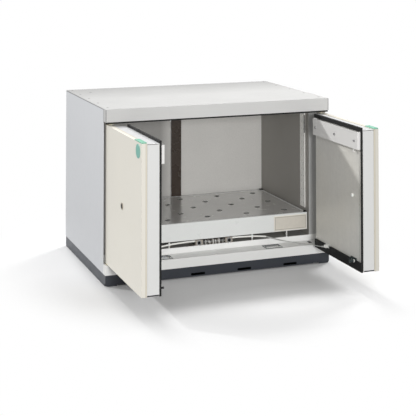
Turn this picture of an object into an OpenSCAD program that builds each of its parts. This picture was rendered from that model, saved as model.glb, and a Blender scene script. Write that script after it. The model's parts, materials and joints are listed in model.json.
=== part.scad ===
// Under-bench fire-resistant cabinet for flammable liquids.
// Two insulated hinged doors, sump tray with perforated insert, cable and lever
// closing mechanism behind the sill. Millimetres, +Z up, doors face -Y.
// Origin: centre of the footprint, on the floor.

/* [Cabinet] */
// Overall width of the body
cab_w = 850; // [700:5:1100]
// Overall depth, front plane to the rear edge of the side sheets
cab_d = 574; // [540:2:640]
// Overall height, floor to the top of the cover
cab_h = 600; // [580:5:720]
// Height of the dark plinth
plinth_h = 37; // [34:1:45]
// Height of the top fascia
fascia_h = 44.5; // [40:0.5:60]
// Thickness of folded steel sheet
sheet_t = 1.2; // [0.8:0.1:1.5]

/* [Doors] */
// Opening angle of both doors
door_angle = 90; // [0:1:95]
// Thickness of the outer leaf of a door
leaf_t = 18.2; // [16:0.1:19]
// Thickness of the folded casing behind the leaf
casing_t = 39.7; // [36:0.1:40]
// Gap between each door and the cabinet centre line
door_gap = 1.5; // [1.5:0.1:3]
// Thickness of the door gasket
gasket_t = 7; // [4:0.5:7]
// Radius of the pivot pins
pin_r = 4; // [3:0.5:4]

/* [Sump tray] */
// Height of the sump tray
tray_h = 63; // [45:1:80]
// Radius of the holes in the perforated insert
hole_r = 8.5; // [5:0.5:12]
// Distance between the hole rows, front to back
row_pitch = 76; // [60:1:80]
// Distance between the holes in a row
hole_pitch = 154; // [100:1:160]

/* [Services] */
// Outer radius of the rear exhaust spigot
spigot_r = 25; // [20:1:30]
// Offset of the exhaust spigot and duct from the centre line
duct_x = 4; // [-20:1:20]
// Width of the duct cover on the rear wall
duct_w = 40; // [36:1:60]

/* [Hidden] */
$fn = 48;

// In every name, x is a distance from the centre plane, y from the front plane and z from
// the floor. The endings 0 and 1 mark the lower and upper ends of a range.

// Body
half_w = cab_w / 2;
lap = 0.1;                               // overlap between walls of one folded piece
cover_t = 1.5;                           // sheet of the cover, sill and door frame
fold = cover_t - lap;                    // outer face to the start of a lapped wall
side_y = 28;                             // front edge of the side sheets
return_y1 = side_y - fold;               // rear edge of the cover and sill returns
frame_y = 66.5;                          // front face of the door frame
rear_y = cab_d - 30;                     // outer face of the rear panel
body_x = half_w - 1.4;                   // half width of the base pan and rear panel
body_z0 = plinth_h + 0.2;
side_z1 = cab_h - 2.6;
inner_z1 = cab_h - 4.2;                  // top of the parts under the cover
sill_z = plinth_h + 33;                  // top of the sill
fascia_z = cab_h - fascia_h;             // underside of the fascia
opening_x = half_w - 49;                 // half width of the door opening
opening_z0 = sill_z + 20;
opening_z1 = fascia_z - 10;
foot_x = half_w - 53;
foot_ys = [38, cab_d - 54];
screw_x = half_w - 19;
screw_ys = [for (i = [0:4]) 45 + i * (cab_d - 63) / 4];
plug_at = [-half_w + 70, cab_d - 104, cab_h - 3];
stud_x = -half_w + 45;
stud_z = plinth_h + 33;
spigot_z = cab_h - 120;

// Storage room, inside the liners
room_x = opening_x + 0.3;
room_y1 = cab_d - 64;
room_z0 = plinth_h + 47;
room_z1 = fascia_z - 10.5;
liner_t = 6;
rear_liner_t = 8;

// Doors, for the right-hand door when closed
door_z0 = sill_z + 2.5;
door_z1 = fascia_z - 10.5;
hinge_x = half_w - 22.6;
hinge_y = 14.1;
socket_h = 24;
case_free_x = door_gap + 2;              // free edge of the casing
case_bevel_x = half_w - 67;              // where the hinge-side bevel starts
case_hinge_x = half_w - 9;               // hinge-side end of the casing
case_y0 = leaf_t + 0.1;
case_y1 = case_y0 + casing_t - 0.1;
case_z0 = door_z0 + 1.3;
case_z1 = door_z1 - 1.5;
inner_y = case_y1 + 1.0;                 // inner face of the door
mount_y = inner_y + 0.05;                // back of parts seated on the inner face
gasket_y1 = inner_y + gasket_t;
catch_x = 58;
catch_z = opening_z0 + 8;
anchor_x = half_w - 160.7;
anchor_z = opening_z0 + 6.2;
lock_x = 215.3;
lock_z = plinth_h + 272;
rod_y = 30;                              // axis of the lock rod

// Sump tray and its insert
tray_x = opening_x - 4;
tray_y0 = 75;
tray_y1 = room_y1 - 14;
tray_z0 = plinth_h + 72;
tray_z1 = tray_z0 + tray_h;
tray_t = 1.5;
insert_inset = 9.6;
insert_x = tray_x - insert_inset;
insert_y0 = tray_y0 + insert_inset;
insert_y1 = tray_y1 - insert_inset;

// Closing mechanism
tube_x0 = 92;
tube_x1 = 203;
tube_y = 72;
tube_z = opening_z0 + 6;
tube_r = 3;
lever_x = 18;
lever_y = 90;
lever_l = 26;                            // pivot to the outer eye
pivot_r = 3;

steel_light = [0.80, 0.82, 0.84];
cover_grey = [0.82, 0.82, 0.80];
cream = [0.87, 0.86, 0.81];
anthracite = [0.22, 0.24, 0.27];
zinc = [0.62, 0.62, 0.60];
gasket_black = [0.07, 0.07, 0.07];
board = [0.86, 0.83, 0.76];
lining = [0.74, 0.73, 0.70];
bright = [0.75, 0.76, 0.77];
mint = [0.49, 0.80, 0.69];
duct_brown = [0.20, 0.15, 0.12];
tray_grey = [0.86, 0.87, 0.87];
label_beige = [0.85, 0.82, 0.76];
insert_grey = [0.55, 0.56, 0.57];

// ---- helpers -------------------------------------------------------------

// Front-plane coordinates to the footprint-centred frame
module place() translate([0, -cab_d / 2, 0]) children();

// A box from one corner to the opposite corner
module box(low, high) translate(low) cube(high - low);

// Cylinders along +Z and +Y, and along +X for the tubes
module z_rod(at, radius, length) translate(at) cylinder(r = radius, h = length);
module y_rod(at, radius, length) translate(at) rotate([-90, 0, 0])
    cylinder(r = radius, h = length);
module x_rod(at, radius, length) translate(at) rotate([0, 90, 0])
    cylinder(r = radius, h = length);

module mirrored() mirror([1, 0, 0]) children();
module both() {
    children();
    mirrored() children();
}

// A closed right-hand door swung open about its pivot
module right_door() place() translate([hinge_x, hinge_y, 0]) rotate([0, 0, door_angle])
    translate([-hinge_x, -hinge_y, 0]) children();
module left_door() mirrored() right_door() children();

// A cylinder on the hinge axis
module hinge_rod(z, radius, length) z_rod([hinge_x, hinge_y, z], radius, length);

// ---- body, outside -------------------------------------------------------

module side_sheet() {
    overlap = 0.01;
    flange_x1 = half_w - sheet_t + overlap;
    difference() {
        union() {
            box([half_w - sheet_t, side_y, body_z0], [half_w, cab_d, side_z1]);
            // rear and top flanges
            box([half_w - 20, cab_d - sheet_t, body_z0], [flange_x1, cab_d, side_z1]);
            box([half_w - 34, side_y, side_z1 - sheet_t],
                [flange_x1, cab_d - sheet_t + overlap, side_z1]);
        }
        for (y = screw_ys) z_rod([screw_x, y, side_z1 - sheet_t - 1], 2.2, sheet_t + 2);
    }
}
module outer_side_right() place() color(steel_light) side_sheet();
module outer_side_left() place() color(steel_light) mirrored() side_sheet();

module top_cover() place() color(cover_grey) difference() {
    union() {
        box([-half_w, 0, cab_h - cover_t], [half_w, cab_d, cab_h]);
        box([-half_w, 0, fascia_z], [half_w, cover_t, cab_h - fold]);
        both() box([half_w - cover_t, fold, fascia_z], [half_w, return_y1, cab_h - fold]);
        box([-half_w + fold, fold, fascia_z], [half_w - fold, return_y1, fascia_z + cover_t]);
    }
    both() for (y = screw_ys) z_rod([screw_x, y, cab_h - 3], 4.6, 5);
    z_rod(plug_at, 5, 5);
}

// Hex-socket screws along both sides and a round plug at the rear left
module top_screws() place() color("dimgray") {
    both() for (y = screw_ys) translate([screw_x, y, 0]) difference() {
        union() {
            z_rod([0, 0, cab_h - 1.65], 4.4, 1.5);
            z_rod([0, 0, cab_h - 4], 2, 2.5);
        }
        z_rod([0, 0, cab_h - 1], 1.6, 2, $fn = 6);
    }
    z_rod(plug_at, 4.9, 2.8);
}

module rear_panel() place() color(steel_light) difference() {
    box([-body_x, rear_y - sheet_t, plinth_h + 2.2], [body_x, rear_y, inner_z1]);
    y_rod([duct_x, rear_y - 5, spigot_z], spigot_r + 0.4, 10);
    y_rod([stud_x, rear_y - 5, stud_z], 3.2, 10);
}

module base_pan() place() color(steel_light) difference() {
    union() {
        box([-body_x, side_y + 2, body_z0], [body_x, cab_d - 1.4, body_z0 + sheet_t]);
        // bosses for the feet
        both() for (y = foot_ys) z_rod([foot_x, y, plinth_h + 0.3], 9, 14);
    }
    both() for (y = foot_ys) z_rod([foot_x, y, plinth_h - 1], 5.05, 20);
}

// Block over the pocket opening in the sill, grown sideways by a margin
module pocket_block(margin, z0, z1)
    box([180 - margin, 13 - margin, z0], [240 + margin, 49 + margin, z1]);

module sill_fascia() place() color(cover_grey) difference() {
    union() {
        box([-half_w, 0, body_z0], [half_w, cover_t, sill_z]);
        both() box([half_w - cover_t, fold, body_z0], [half_w, return_y1, sill_z]);
        box([-half_w + fold, fold, body_z0], [half_w - fold, return_y1, body_z0 + fold]);
        box([-half_w + fold, fold, sill_z - cover_t], [half_w - fold, frame_y - 0.1, sill_z]);
    }
    both() pocket_block(0, sill_z - 30, sill_z + 5);
}

module latch_pockets() place() color(bright) both() difference() {
    union() {
        // rim on the sill, then the cup
        pocket_block(3, sill_z + 0.05, sill_z + 0.85);
        pocket_block(-0.1, sill_z - 14, sill_z + 0.1);
    }
    pocket_block(-2, sill_z - 12.8, sill_z + 2);
}

module plinth() {
    wall_t = 2;
    wall_x = half_w - 0.5;
    rear_wall_y = cab_d - 4;
    corner_r = 9;
    flange_y0 = 12;
    slot_z = 11;
    slot_r = 2.5;
    slot_half_l = 22.5;
    place() color(anthracite) difference() {
        union() {
            // front wall with rounded lower corners
            translate([0, wall_t, 0]) rotate([90, 0, 0]) linear_extrude(wall_t) union() {
                translate([-wall_x, corner_r]) square([2 * wall_x, plinth_h - corner_r]);
                translate([-wall_x + corner_r, 0])
                    square([2 * (wall_x - corner_r), corner_r + 1]);
                for (side = [-1, 1])
                    translate([side * (wall_x - corner_r), corner_r]) circle(r = corner_r);
            }
            // side and rear walls
            both() box([wall_x - wall_t, wall_t - lap, 9], [wall_x, rear_wall_y, plinth_h]);
            both() box([wall_x - wall_t, flange_y0, 0], [wall_x, rear_wall_y, 10]);
            box([-wall_x, rear_wall_y - wall_t, 0], [wall_x, rear_wall_y, plinth_h]);
            // foot flange
            both() box([half_w - 26, flange_y0, 0], [wall_x - lap, rear_wall_y - lap, wall_t]);
            box([-half_w + 1, cab_d - 30, 0], [half_w - 1, rear_wall_y - lap, wall_t]);
        }
        // raised middle of the front wall
        box([-half_w + 56, -1, -1], [half_w - 56, 3, 3.2]);
        both() box([half_w - 66, -1, -1], [half_w - 42, 3, 4.6]);
        // vent slots
        both() for (x = [88, 267]) {
            box([x - slot_half_l, -1, slot_z - slot_r], [x + slot_half_l, 3, slot_z + slot_r]);
            for (side = [-1, 1]) y_rod([x + side * slot_half_l, -1.5, slot_z], slot_r, 5);
        }
    }
}

module levelling_feet() place() color("dimgray")
    both() for (y = foot_ys) translate([foot_x, y, 0.3]) union() {
        cylinder(r = 19, h = 5);
        cylinder(r = 8, h = 12, $fn = 6);
        cylinder(r = 5, h = plinth_h + 13);
    }

module exhaust_spigot() place() color(steel_light) difference() {
    pipe_y = room_y1 + rear_liner_t + 0.3;
    union() {
        y_rod([duct_x, pipe_y, spigot_z], spigot_r, rear_y + 28 - pipe_y);
        y_rod([duct_x, rear_y + 0.1, spigot_z], spigot_r + 10, 1.6);
    }
    y_rod([duct_x, room_y1, spigot_z], spigot_r - 1.2, 120);
}

module earth_stud() place() color("goldenrod") union() {
    y_rod([stud_x, rear_y - sheet_t - 0.3, stud_z], 3, 18.3 + sheet_t);
    y_rod([stud_x, rear_y + 0.1, stud_z], 5.8, 4.8, $fn = 6);
}

// ---- body, inside --------------------------------------------------------

lining_y0 = frame_y + 2.6;               // front of the boards and liners
board_y1 = rear_y - sheet_t - 0.4;
board_z0 = plinth_h + 1.6;
board_gap = 0.4;                         // liner to board
board_x = room_x + liner_t + 0.2;        // half width of the boards between the side boards

module side_board() box([room_x + liner_t + board_gap, lining_y0, board_z0],
    [half_w - 2, board_y1, inner_z1]);
module insulation_right() place() color(board) side_board();
module insulation_left() place() color(board) mirrored() side_board();
module insulation_top() place() color(board)
    box([-board_x, lining_y0, room_z1 + liner_t + board_gap], [board_x, board_y1, cab_h - 3.4]);
module insulation_bottom() place() color(board) difference() {
    box([-board_x, lining_y0, board_z0], [board_x, board_y1, room_z0 - liner_t - board_gap]);
    both() for (y = foot_ys) z_rod([foot_x, y, plinth_h], 10, 18);
}
module insulation_rear() place() color(board) difference() {
    box([-board_x, room_y1 + rear_liner_t + board_gap, room_z0 - liner_t - 0.2],
        [board_x, board_y1, room_z1 + liner_t + 0.2]);
    y_rod([duct_x, room_y1, spigot_z], spigot_r + 0.4, 60);
}

liner_x = room_x - 0.2;                  // half width of the liners between the side liners
liner_y1 = room_y1 + rear_liner_t;

module liner_side() box([room_x, lining_y0, room_z0 - liner_t],
    [room_x + liner_t, liner_y1, room_z1 + liner_t]);
module liner_right() place() color(lining) liner_side();
module liner_left() place() color(lining) mirrored() liner_side();
module liner_rear() place() color(lining) difference() {
    box([-liner_x, room_y1, room_z0 + 0.2], [liner_x, liner_y1, room_z1 - 0.2]);
    y_rod([duct_x, room_y1 - 5, spigot_z], spigot_r + 0.4, 30);
}
module liner_ceiling() place() color(lining)
    box([-liner_x, lining_y0, room_z1], [liner_x, liner_y1, room_z1 + liner_t]);
module liner_floor() place() color(lining)
    box([-liner_x, lining_y0, room_z0 - liner_t], [liner_x, liner_y1, room_z0]);

module door_frame() place() color(cover_grey) difference() {
    lip_x = opening_x + cover_t;
    union() {
        box([-half_w + 1.5, frame_y, sill_z - 12], [half_w - 1.5, frame_y + cover_t, inner_z1]);
        // return lips round the opening
        box([-lip_x, frame_y + lap, opening_z0 - cover_t],
            [lip_x, frame_y + 2.4, opening_z1 + cover_t]);
    }
    box([-opening_x, frame_y - 5, opening_z0], [opening_x, frame_y + 20, opening_z1]);
}

// Seal strip under the top edge of the opening
module frame_seal() place() color(gasket_black)
    box([-opening_x + 0.3, frame_y + 0.6, opening_z1 - 4.6],
        [opening_x - 0.3, frame_y + 12, opening_z1 - 0.6]);

module duct_cover() place() color(duct_brown) difference() {
    wall_t = 1.2;
    x0 = duct_x - duct_w / 2;
    x1 = duct_x + duct_w / 2;
    y0 = room_y1 - 12;
    z0 = tray_z1 - 40;
    box([x0, y0, z0], [x1, room_y1 - 0.1, room_z1 - 0.2]);
    box([x0 + wall_t, y0 + wall_t, z0 - 1], [x1 - wall_t, room_y1 + 1, room_z1 - 2]);
    // slots in the front wall
    for (i = [0:3]) box([duct_x - 12, y0 - 2, z0 + 8 + i * 9], [duct_x + 12, y0 + 2, z0 + 12 + i * 9]);
}

module shelf_rails() place() color(bright) both() difference() {
    rail_y = 98;
    x1 = room_x - 0.1;
    z0 = tray_z1 + 11;
    z1 = room_z1 - 2;
    union() {
        // front flange and slotted web
        box([room_x - 3.3, rail_y, z0], [x1, rail_y + 5, z1]);
        box([room_x - 1.6, rail_y + 4.9, z0], [x1, rail_y + 42, z1]);
    }
    for (i = [0:13]) for (y = [rail_y + 12, rail_y + 28]) {
        slot_z = tray_z1 + 22 + i * 25;
        if (slot_z + 2 < room_z1 - 14)
            box([room_x - 5, y, slot_z], [room_x + 2, y + 5, slot_z + 8]);
    }
}

module hinge_bracket(y0, y1, z0, z1) difference() {
    box([hinge_x - 14.4, y0, z0], [hinge_x + 14.6, y1, z1]);
    hinge_rod(z0 - 5, pin_r, 20);
}
module hinge_mounts() place() color(bright) both() {
    pin_reach = 20;                      // pin length inside the casing
    upper_z1 = door_z1 + 7;
    lower_z0 = sill_z + 0.1;
    hinge_bracket(5, frame_y - 0.1, door_z1 + 4, upper_z1);
    hinge_rod(case_z1 - pin_reach, pin_r, upper_z1 - case_z1 + pin_reach);
    hinge_bracket(4, 42, lower_z0, sill_z + 1.6);
    hinge_rod(lower_z0, pin_r, case_z0 - sill_z + pin_reach);
}

// ---- closing mechanism ---------------------------------------------------

mech_z0 = room_z0 + 0.1;                 // underside of parts on the room floor

module catch_block() difference() {
    box([catch_x - 15, 70.5, mech_z0], [catch_x + 13, 84, tray_z0 - 1.5]);
    y_rod([catch_x, 60, catch_z], 7, 40);
    // notches in the rear face
    box([catch_x - 12, 74, room_z0 + 10], [catch_x - 8, 90, tray_z0]);
    box([catch_x + 8, 74, room_z0 + 10], [catch_x + 10, 90, tray_z0]);
}
module mechanism_plate() place() color(zinc) {
    difference() {
        box([-86, 84.1, mech_z0], [86, 108, mech_z0 + 2]);
        both() z_rod([lever_x, lever_y, room_z0 - 1], pivot_r, 6);
    }
    both() {
        catch_block();
        z_rod([lever_x, lever_y, mech_z0], pivot_r, 19);
        // upright fin beside the centre plane
        box([2, 86, room_z0 + 2.2], [6, 104, room_z0 + 16]);
    }
}

module lever() difference() {
    arm_z = room_z0 + 7;
    arm_t = 4;
    eye_x = lever_x + lever_l;
    union() {
        z_rod([lever_x, lever_y, room_z0 + 6], 6.5, 8);
        box([lever_x, lever_y - 3, arm_z], [eye_x, lever_y + 3, arm_z + arm_t]);
        z_rod([eye_x, lever_y, arm_z], 4.5, arm_t);
    }
    z_rod([lever_x, lever_y, room_z0], pivot_r + 0.05, 30);
    z_rod([eye_x, lever_y, room_z0], 2, 30);
}
module lever_right() place() color(bright) lever();
module lever_left() place() color(bright) mirrored() lever();

module guide_tubes() place() color(bright) both() {
    tube_l = tube_x1 - tube_x0;
    difference() {
        x_rod([tube_x0, tube_y, tube_z], tube_r, tube_l);
        x_rod([tube_x0 - 1, tube_y, tube_z], 1.6, tube_l + 2);
    }
    // support block
    difference() {
        box([142, 69, mech_z0], [148, 76, tube_z + 7]);
        x_rod([130, tube_y, tube_z], tube_r + 0.05, 30);
    }
}

// Cable from the guide tube to the anchor on a door in its modelled position
anchor_dx = anchor_x - hinge_x;
anchor_dy = inner_y + 8 - hinge_y;
anchor_open = [
    hinge_x + anchor_dx * cos(door_angle) - anchor_dy * sin(door_angle),
    hinge_y + anchor_dx * sin(door_angle) + anchor_dy * cos(door_angle),
    anchor_z
];
cable_from = [tube_x1 + 0.3, tube_y, tube_z];
cable_dir = (anchor_open - cable_from) / norm(anchor_open - cable_from);
module cable() {
    end_gap = 7.8;                       // stops short of the anchor point
    run = anchor_open - end_gap * cable_dir - cable_from;
    length = norm(run);
    translate(cable_from) rotate([0, acos(run[2] / length), atan2(run[1], run[0])])
        cylinder(r = 1, h = length);
}
module cable_right() place() color("silver") cable();
module cable_left() place() color("silver") mirrored() cable();

// ---- sump tray -----------------------------------------------------------

module tray_supports() place() color(bright) both() for (y = [86, room_y1 - 40])
    z_rod([half_w - 132, y, mech_z0], 3, tray_z0 - mech_z0);

// Block over the tray footprint, inset from its outer faces
module tray_block(inset, z0, z1)
    box([-tray_x + inset, tray_y0 + inset, z0], [tray_x - inset, tray_y1 - inset, z1]);

module sump_tray() place() color(tray_grey) difference() {
    tray_block(0, tray_z0, tray_z1);
    tray_block(tray_t, tray_z0 + tray_t, tray_z1 - tray_t);
    // opening inside the rim
    tray_block(9, tray_z0 + 5, tray_z1 + 5);
}

// L-shaped caps on the rim; columns: corner y, direction into the tray
module tray_corner_caps() place() color(gasket_black) both()
    for (corner = [[tray_y0, 1], [tray_y1, -1]])
        translate([tray_x, corner[0], tray_z1]) scale([1, corner[1], 1]) difference() {
            box([-14, 0.1, 0.05], [-0.1, 14, 3.5]);
            box([-30, 8.4, -5], [-8.4, 30, 10]);
        }

module label_plate() place() color(label_beige)
    box([tray_x - 135, tray_y0 - 1, tray_z0 + 2], [tray_x - 2, tray_y0 - 0.05, tray_z0 + 57]);

module perforated_insert() place() color(insert_grey) difference() {
    rim_z0 = tray_z1 - 14;
    rim_z1 = tray_z1 - 1;
    union() {
        box([-insert_x, insert_y0, tray_z1 - 2], [insert_x, insert_y1, tray_z1 - 0.5]);
        // rim folded down on all four sides
        both() box([insert_x - tray_t, insert_y0, rim_z0], [insert_x, insert_y1, rim_z1]);
        for (y = [insert_y0, insert_y1 - tray_t])
            box([-insert_x, y, rim_z0], [insert_x, y + tray_t, rim_z1]);
        // folded legs that stand on the tray floor
        both() for (x = [insert_x - 60, 40])
            box([x, insert_y0 + 40, tray_z0 + 1.6], [x + tray_t, insert_y1 - 40, rim_z1]);
    }
    // hole rows, every second one staggered by half a pitch
    for (row = [0:4]) {
        staggered = row % 2 == 1;
        y = tray_y0 + 64 + row * row_pitch;
        if (y < insert_y1 - hole_r - 8) for (i = [-2:(staggered ? 1 : 2)]) {
            x = i * hole_pitch + (staggered ? hole_pitch / 2 : 0);
            if (abs(x) < insert_x - 20) z_rod([x, y, tray_z1 - 10], hole_r, 20);
        }
    }
}

// ---- doors (drawn closed, right-hand) ------------------------------------

module leaf() translate([0, 0, door_z0]) difference() {
    leaf_x1 = half_w - 2.2;
    linear_extrude(door_z1 - door_z0) polygon([
        [door_gap, 1.2], [door_gap + 1.2, 0], [leaf_x1 - 1.4, 0],
        [leaf_x1, 1.4], [leaf_x1, leaf_t], [door_gap, leaf_t]]);
    for (z = [-1, door_z1 - door_z0 - socket_h - 3]) hinge_rod(z, pin_r + 3.5, socket_h + 4);
}

// Casing with a hollow for the core and a window behind the inner sheet
module casing_shell() difference() {
    translate([0, 0, case_z0]) linear_extrude(case_z1 - case_z0) polygon([
        [case_free_x, case_y0], [case_hinge_x, case_y0],
        [case_bevel_x, case_y1], [case_free_x, case_y1]]);
    translate([0, 0, case_z0 + sheet_t]) linear_extrude(case_z1 - case_z0 - 2 * sheet_t) polygon([
        [case_free_x + sheet_t, case_y0 + sheet_t], [case_hinge_x - 4, case_y0 + sheet_t],
        [case_bevel_x - sheet_t * 0.6, case_y1 - sheet_t],
        [case_free_x + sheet_t, case_y1 - sheet_t]]);
    box([case_free_x + 12, case_y1 - 5, case_z0 + 14], [case_bevel_x - 12, case_y1 + 5, case_z1 - 14]);
}
module casing() difference() {
    union() {
        casing_shell();
        // pivot sockets
        for (z = [case_z0, case_z1 - socket_h]) hinge_rod(z, pin_r + 3, socket_h);
    }
    // pivot bores, blind
    hinge_rod(case_z0 - 1, pin_r + 0.05, socket_h - 1);
    hinge_rod(case_z1 - socket_h + 2, pin_r + 0.05, socket_h);
}

module core() difference() {
    inset = sheet_t + 0.1;
    translate([0, 0, case_z0 + inset]) linear_extrude(case_z1 - case_z0 - 2 * inset) polygon([
        [case_free_x + inset, case_y0 + inset], [case_hinge_x - 20, case_y0 + inset],
        [case_bevel_x - 3, case_y1 - inset], [case_free_x + inset, case_y1 - inset]]);
    for (z = [case_z0, case_z1 - socket_h - 2]) hinge_rod(z, pin_r + 4, socket_h + 2);
}

module inner_sheet() box([case_free_x + 0.5, case_y1 + 0.05, case_z0 + 0.5],
    [case_bevel_x - 0.5, inner_y, case_z1 - 0.5]);

// Gasket open at the hinge side and cut away round the catch and the anchor
module gasket() difference() {
    cut_y0 = inner_y - 5;
    cut_y1 = gasket_y1 + 5;
    box([case_free_x + 0.5, mount_y, door_z0 - 1.3], [case_bevel_x - 1, gasket_y1, door_z1 + 6.5]);
    box([case_free_x + 5, cut_y0, case_z0 + 27], [case_bevel_x + 5, cut_y1, case_z1 - 6]);
    box([catch_x - 7.3, cut_y0, catch_z - 9.3], [catch_x + 30.3, cut_y1, catch_z + 12]);
    box([anchor_x - 22.3, cut_y0, anchor_z - 7.3], [anchor_x + 18.3, cut_y1, anchor_z + 13]);
}

// Closer housing near the top of the door, open along its top, with three screws
closer_x0 = case_free_x + 5.1;
closer_x1 = half_w - 80;
closer_z0 = case_z1 - 65.5;
closer_z1 = case_z1 - 6.5;
closer_t = 18;
closer_wall = 1.5;
// screw places, spread in proportion to the door width
closer_screw_xs = [for (x = [324.3, 175.3, 31.3]) x * (half_w - 100.7) / 324.3];
module closer() {
    cavity_x0 = closer_x0 + closer_wall;
    cavity_x1 = closer_x1 - closer_wall;
    cavity_y1 = inner_y + closer_t - closer_wall;
    screw_z = closer_z0 + 28;
    stud_x = closer_x0 + 42;
    difference() {
        box([closer_x0, mount_y, closer_z0], [closer_x1, inner_y + closer_t, closer_z1]);
        box([cavity_x0, inner_y - 2, closer_z0 + closer_wall],
            [cavity_x1, cavity_y1, closer_z1 - closer_wall]);
        box([cavity_x0, inner_y - 2, closer_z1 - 3], [cavity_x1, cavity_y1, closer_z1 + 2]);
        for (x = closer_screw_xs) y_rod([x, inner_y + 10, screw_z], 2.2, 20);
    }
    for (x = closer_screw_xs) translate([x, inner_y, screw_z]) union() {
        y_rod([0, 1, 0], 2, 17.2);
        y_rod([0, closer_t + 0.05, 0], 4, 1.6);
    }
    // damper stud under the free end
    z_rod([stud_x, inner_y + 10, closer_z0 - 9], 2.6, 8.95);
    z_rod([stud_x, inner_y + 10, closer_z0 - 12], 4, 3);
}

// Clip on top of the leaf, with a recess in its upper face
module clip(x0, x1) difference() {
    box([x0, 0.6, door_z1 + 0.05], [x1, leaf_t - 0.6, door_z1 + 3.2]);
    box([x0 + 12, 4, door_z1 + 2.2], [x1 - 12, leaf_t - 4, door_z1 + 6]);
}

// Base plate with two ribs and a headed pin
module catch_pin() union() {
    rib_y0 = inner_y + 2.9;
    box([catch_x - 7, mount_y, catch_z - 9], [catch_x + 30, inner_y + 3, catch_z + 9]);
    for (x = [catch_x + 8, catch_x + 24])
        box([x, rib_y0, catch_z - 7], [x + 3, inner_y + 9, catch_z + 7]);
    y_rod([catch_x, inner_y + 0.1, catch_z], 3.4, 24);
    y_rod([catch_x, inner_y + 20, catch_z], 4.8, 4);
    y_rod([catch_x, rib_y0, catch_z], 5.4, 2.6);
}

// Cable anchor: plate with two screw holes and a block
module anchor() difference() {
    union() {
        box([anchor_x - 22, mount_y, anchor_z - 7], [anchor_x + 18, inner_y + 2, anchor_z + 8]);
        box([anchor_x - 5, inner_y + 1.9, anchor_z - 5], [anchor_x + 5, inner_y + 12, anchor_z + 5]);
    }
    for (x = [anchor_x - 15, anchor_x + 12]) y_rod([x, inner_y - 2, anchor_z + 3], 2.2, 8);
}

module door_right_panel() right_door() color(cream) leaf();
module door_left_panel() left_door() color(cream) difference() {
    leaf();
    y_rod([lock_x, -5, lock_z], 8.05, 40);
}
module door_right_casing() right_door() color(steel_light) casing();
module door_left_casing() left_door() color(steel_light) difference() {
    casing();
    y_rod([lock_x, case_y0 - 2, lock_z], 8.4, 6);
    z_rod([lock_x, rod_y, case_z0 - 5], 4.05, 12);
}
module door_right_core() right_door() color(board) core();
module door_left_core() left_door() color(board) difference() {
    core();
    z_rod([lock_x, rod_y, case_z0], 6, lock_z - case_z0);
    y_rod([lock_x, case_y0, lock_z], 20, 24);
}
module door_right_inner() right_door() color(zinc) inner_sheet();
module door_left_inner() left_door() color(zinc) inner_sheet();
module door_right_seal() right_door() color(gasket_black) gasket();
module door_left_seal() left_door() color(gasket_black) union() {
    gasket();
    // rubber buffer at the free end
    y_rod([case_free_x + 5.5, gasket_y1 - 2, opening_z0 + 5.5], 3.2, 11);
}
module door_right_closer() right_door() color(cover_grey) closer();
module door_left_closer() left_door() color(cover_grey) closer();
module door_right_clip() right_door() color(mint) clip(door_gap + 1, door_gap + 63);
module door_left_clip() left_door() color(mint) clip(door_gap + 4, door_gap + 79);
module door_right_catch() right_door() color(bright) catch_pin();
module door_left_catch() left_door() color(bright) catch_pin();
module door_right_anchor() right_door() color(bright) anchor();
module door_left_anchor() left_door() color(bright) anchor();

// Disc on the front of the left leaf
module door_left_disc() left_door() color(mint) y_rod([39.3, -1.05, door_z1 - 28], 22, 1);

// Stepped cap on the inner face of the right door
module door_right_cap() right_door() color("white") union() {
    y_rod([77.9, mount_y, lock_z + 5], 7, 4);
    y_rod([77.9, inner_y + 4, lock_z + 5], 5.6, 1.5);
}

// Cam lock: head, barrel, collar and tongue, with a keyway
module lock_cylinder() left_door() color("dimgray") difference() {
    union() {
        y_rod([lock_x, -1.6, lock_z], 11, 1.55);
        y_rod([lock_x, -1, lock_z], 8, 30);
        y_rod([lock_x, 23, lock_z], 9.5, 3);
        box([lock_x - 4, 23.2, lock_z - 17], [lock_x + 4, 25.8, lock_z]);
    }
    box([lock_x - 1, -3, lock_z - 4.5], [lock_x + 1, 8, lock_z + 4.5]);
    y_rod([lock_x, -3, lock_z + 3], 2.2, 11);
}

// Rod below the lock, with a collar
module lock_rod() left_door() color(bright) union() {
    z_rod([lock_x, rod_y, case_z0 + 0.5], 4, lock_z - 24 - case_z0);
    z_rod([lock_x, rod_y, case_z0 + 40], 5.2, 4);
}

outer_side_left();
outer_side_right();
top_cover();
top_screws();
rear_panel();
base_pan();
sill_fascia();
latch_pockets();
plinth();
levelling_feet();
exhaust_spigot();
earth_stud();
insulation_left();
insulation_right();
insulation_top();
insulation_bottom();
insulation_rear();
liner_left();
liner_right();
liner_rear();
liner_ceiling();
liner_floor();
door_frame();
frame_seal();
duct_cover();
shelf_rails();
hinge_mounts();
mechanism_plate();
lever_left();
lever_right();
guide_tubes();
cable_left();
cable_right();
tray_supports();
sump_tray();
tray_corner_caps();
label_plate();
perforated_insert();
door_left_panel();
door_left_casing();
door_left_core();
door_left_inner();
door_left_seal();
door_left_closer();
door_left_clip();
door_left_catch();
door_left_anchor();
door_left_disc();
lock_cylinder();
lock_rod();
door_right_panel();
door_right_casing();
door_right_core();
door_right_inner();
door_right_seal();
door_right_closer();
door_right_clip();
door_right_catch();
door_right_anchor();
door_right_cap();
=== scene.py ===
import json
import math
import bpy
import bmesh
import numpy as np
from mathutils import Matrix, Vector


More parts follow.
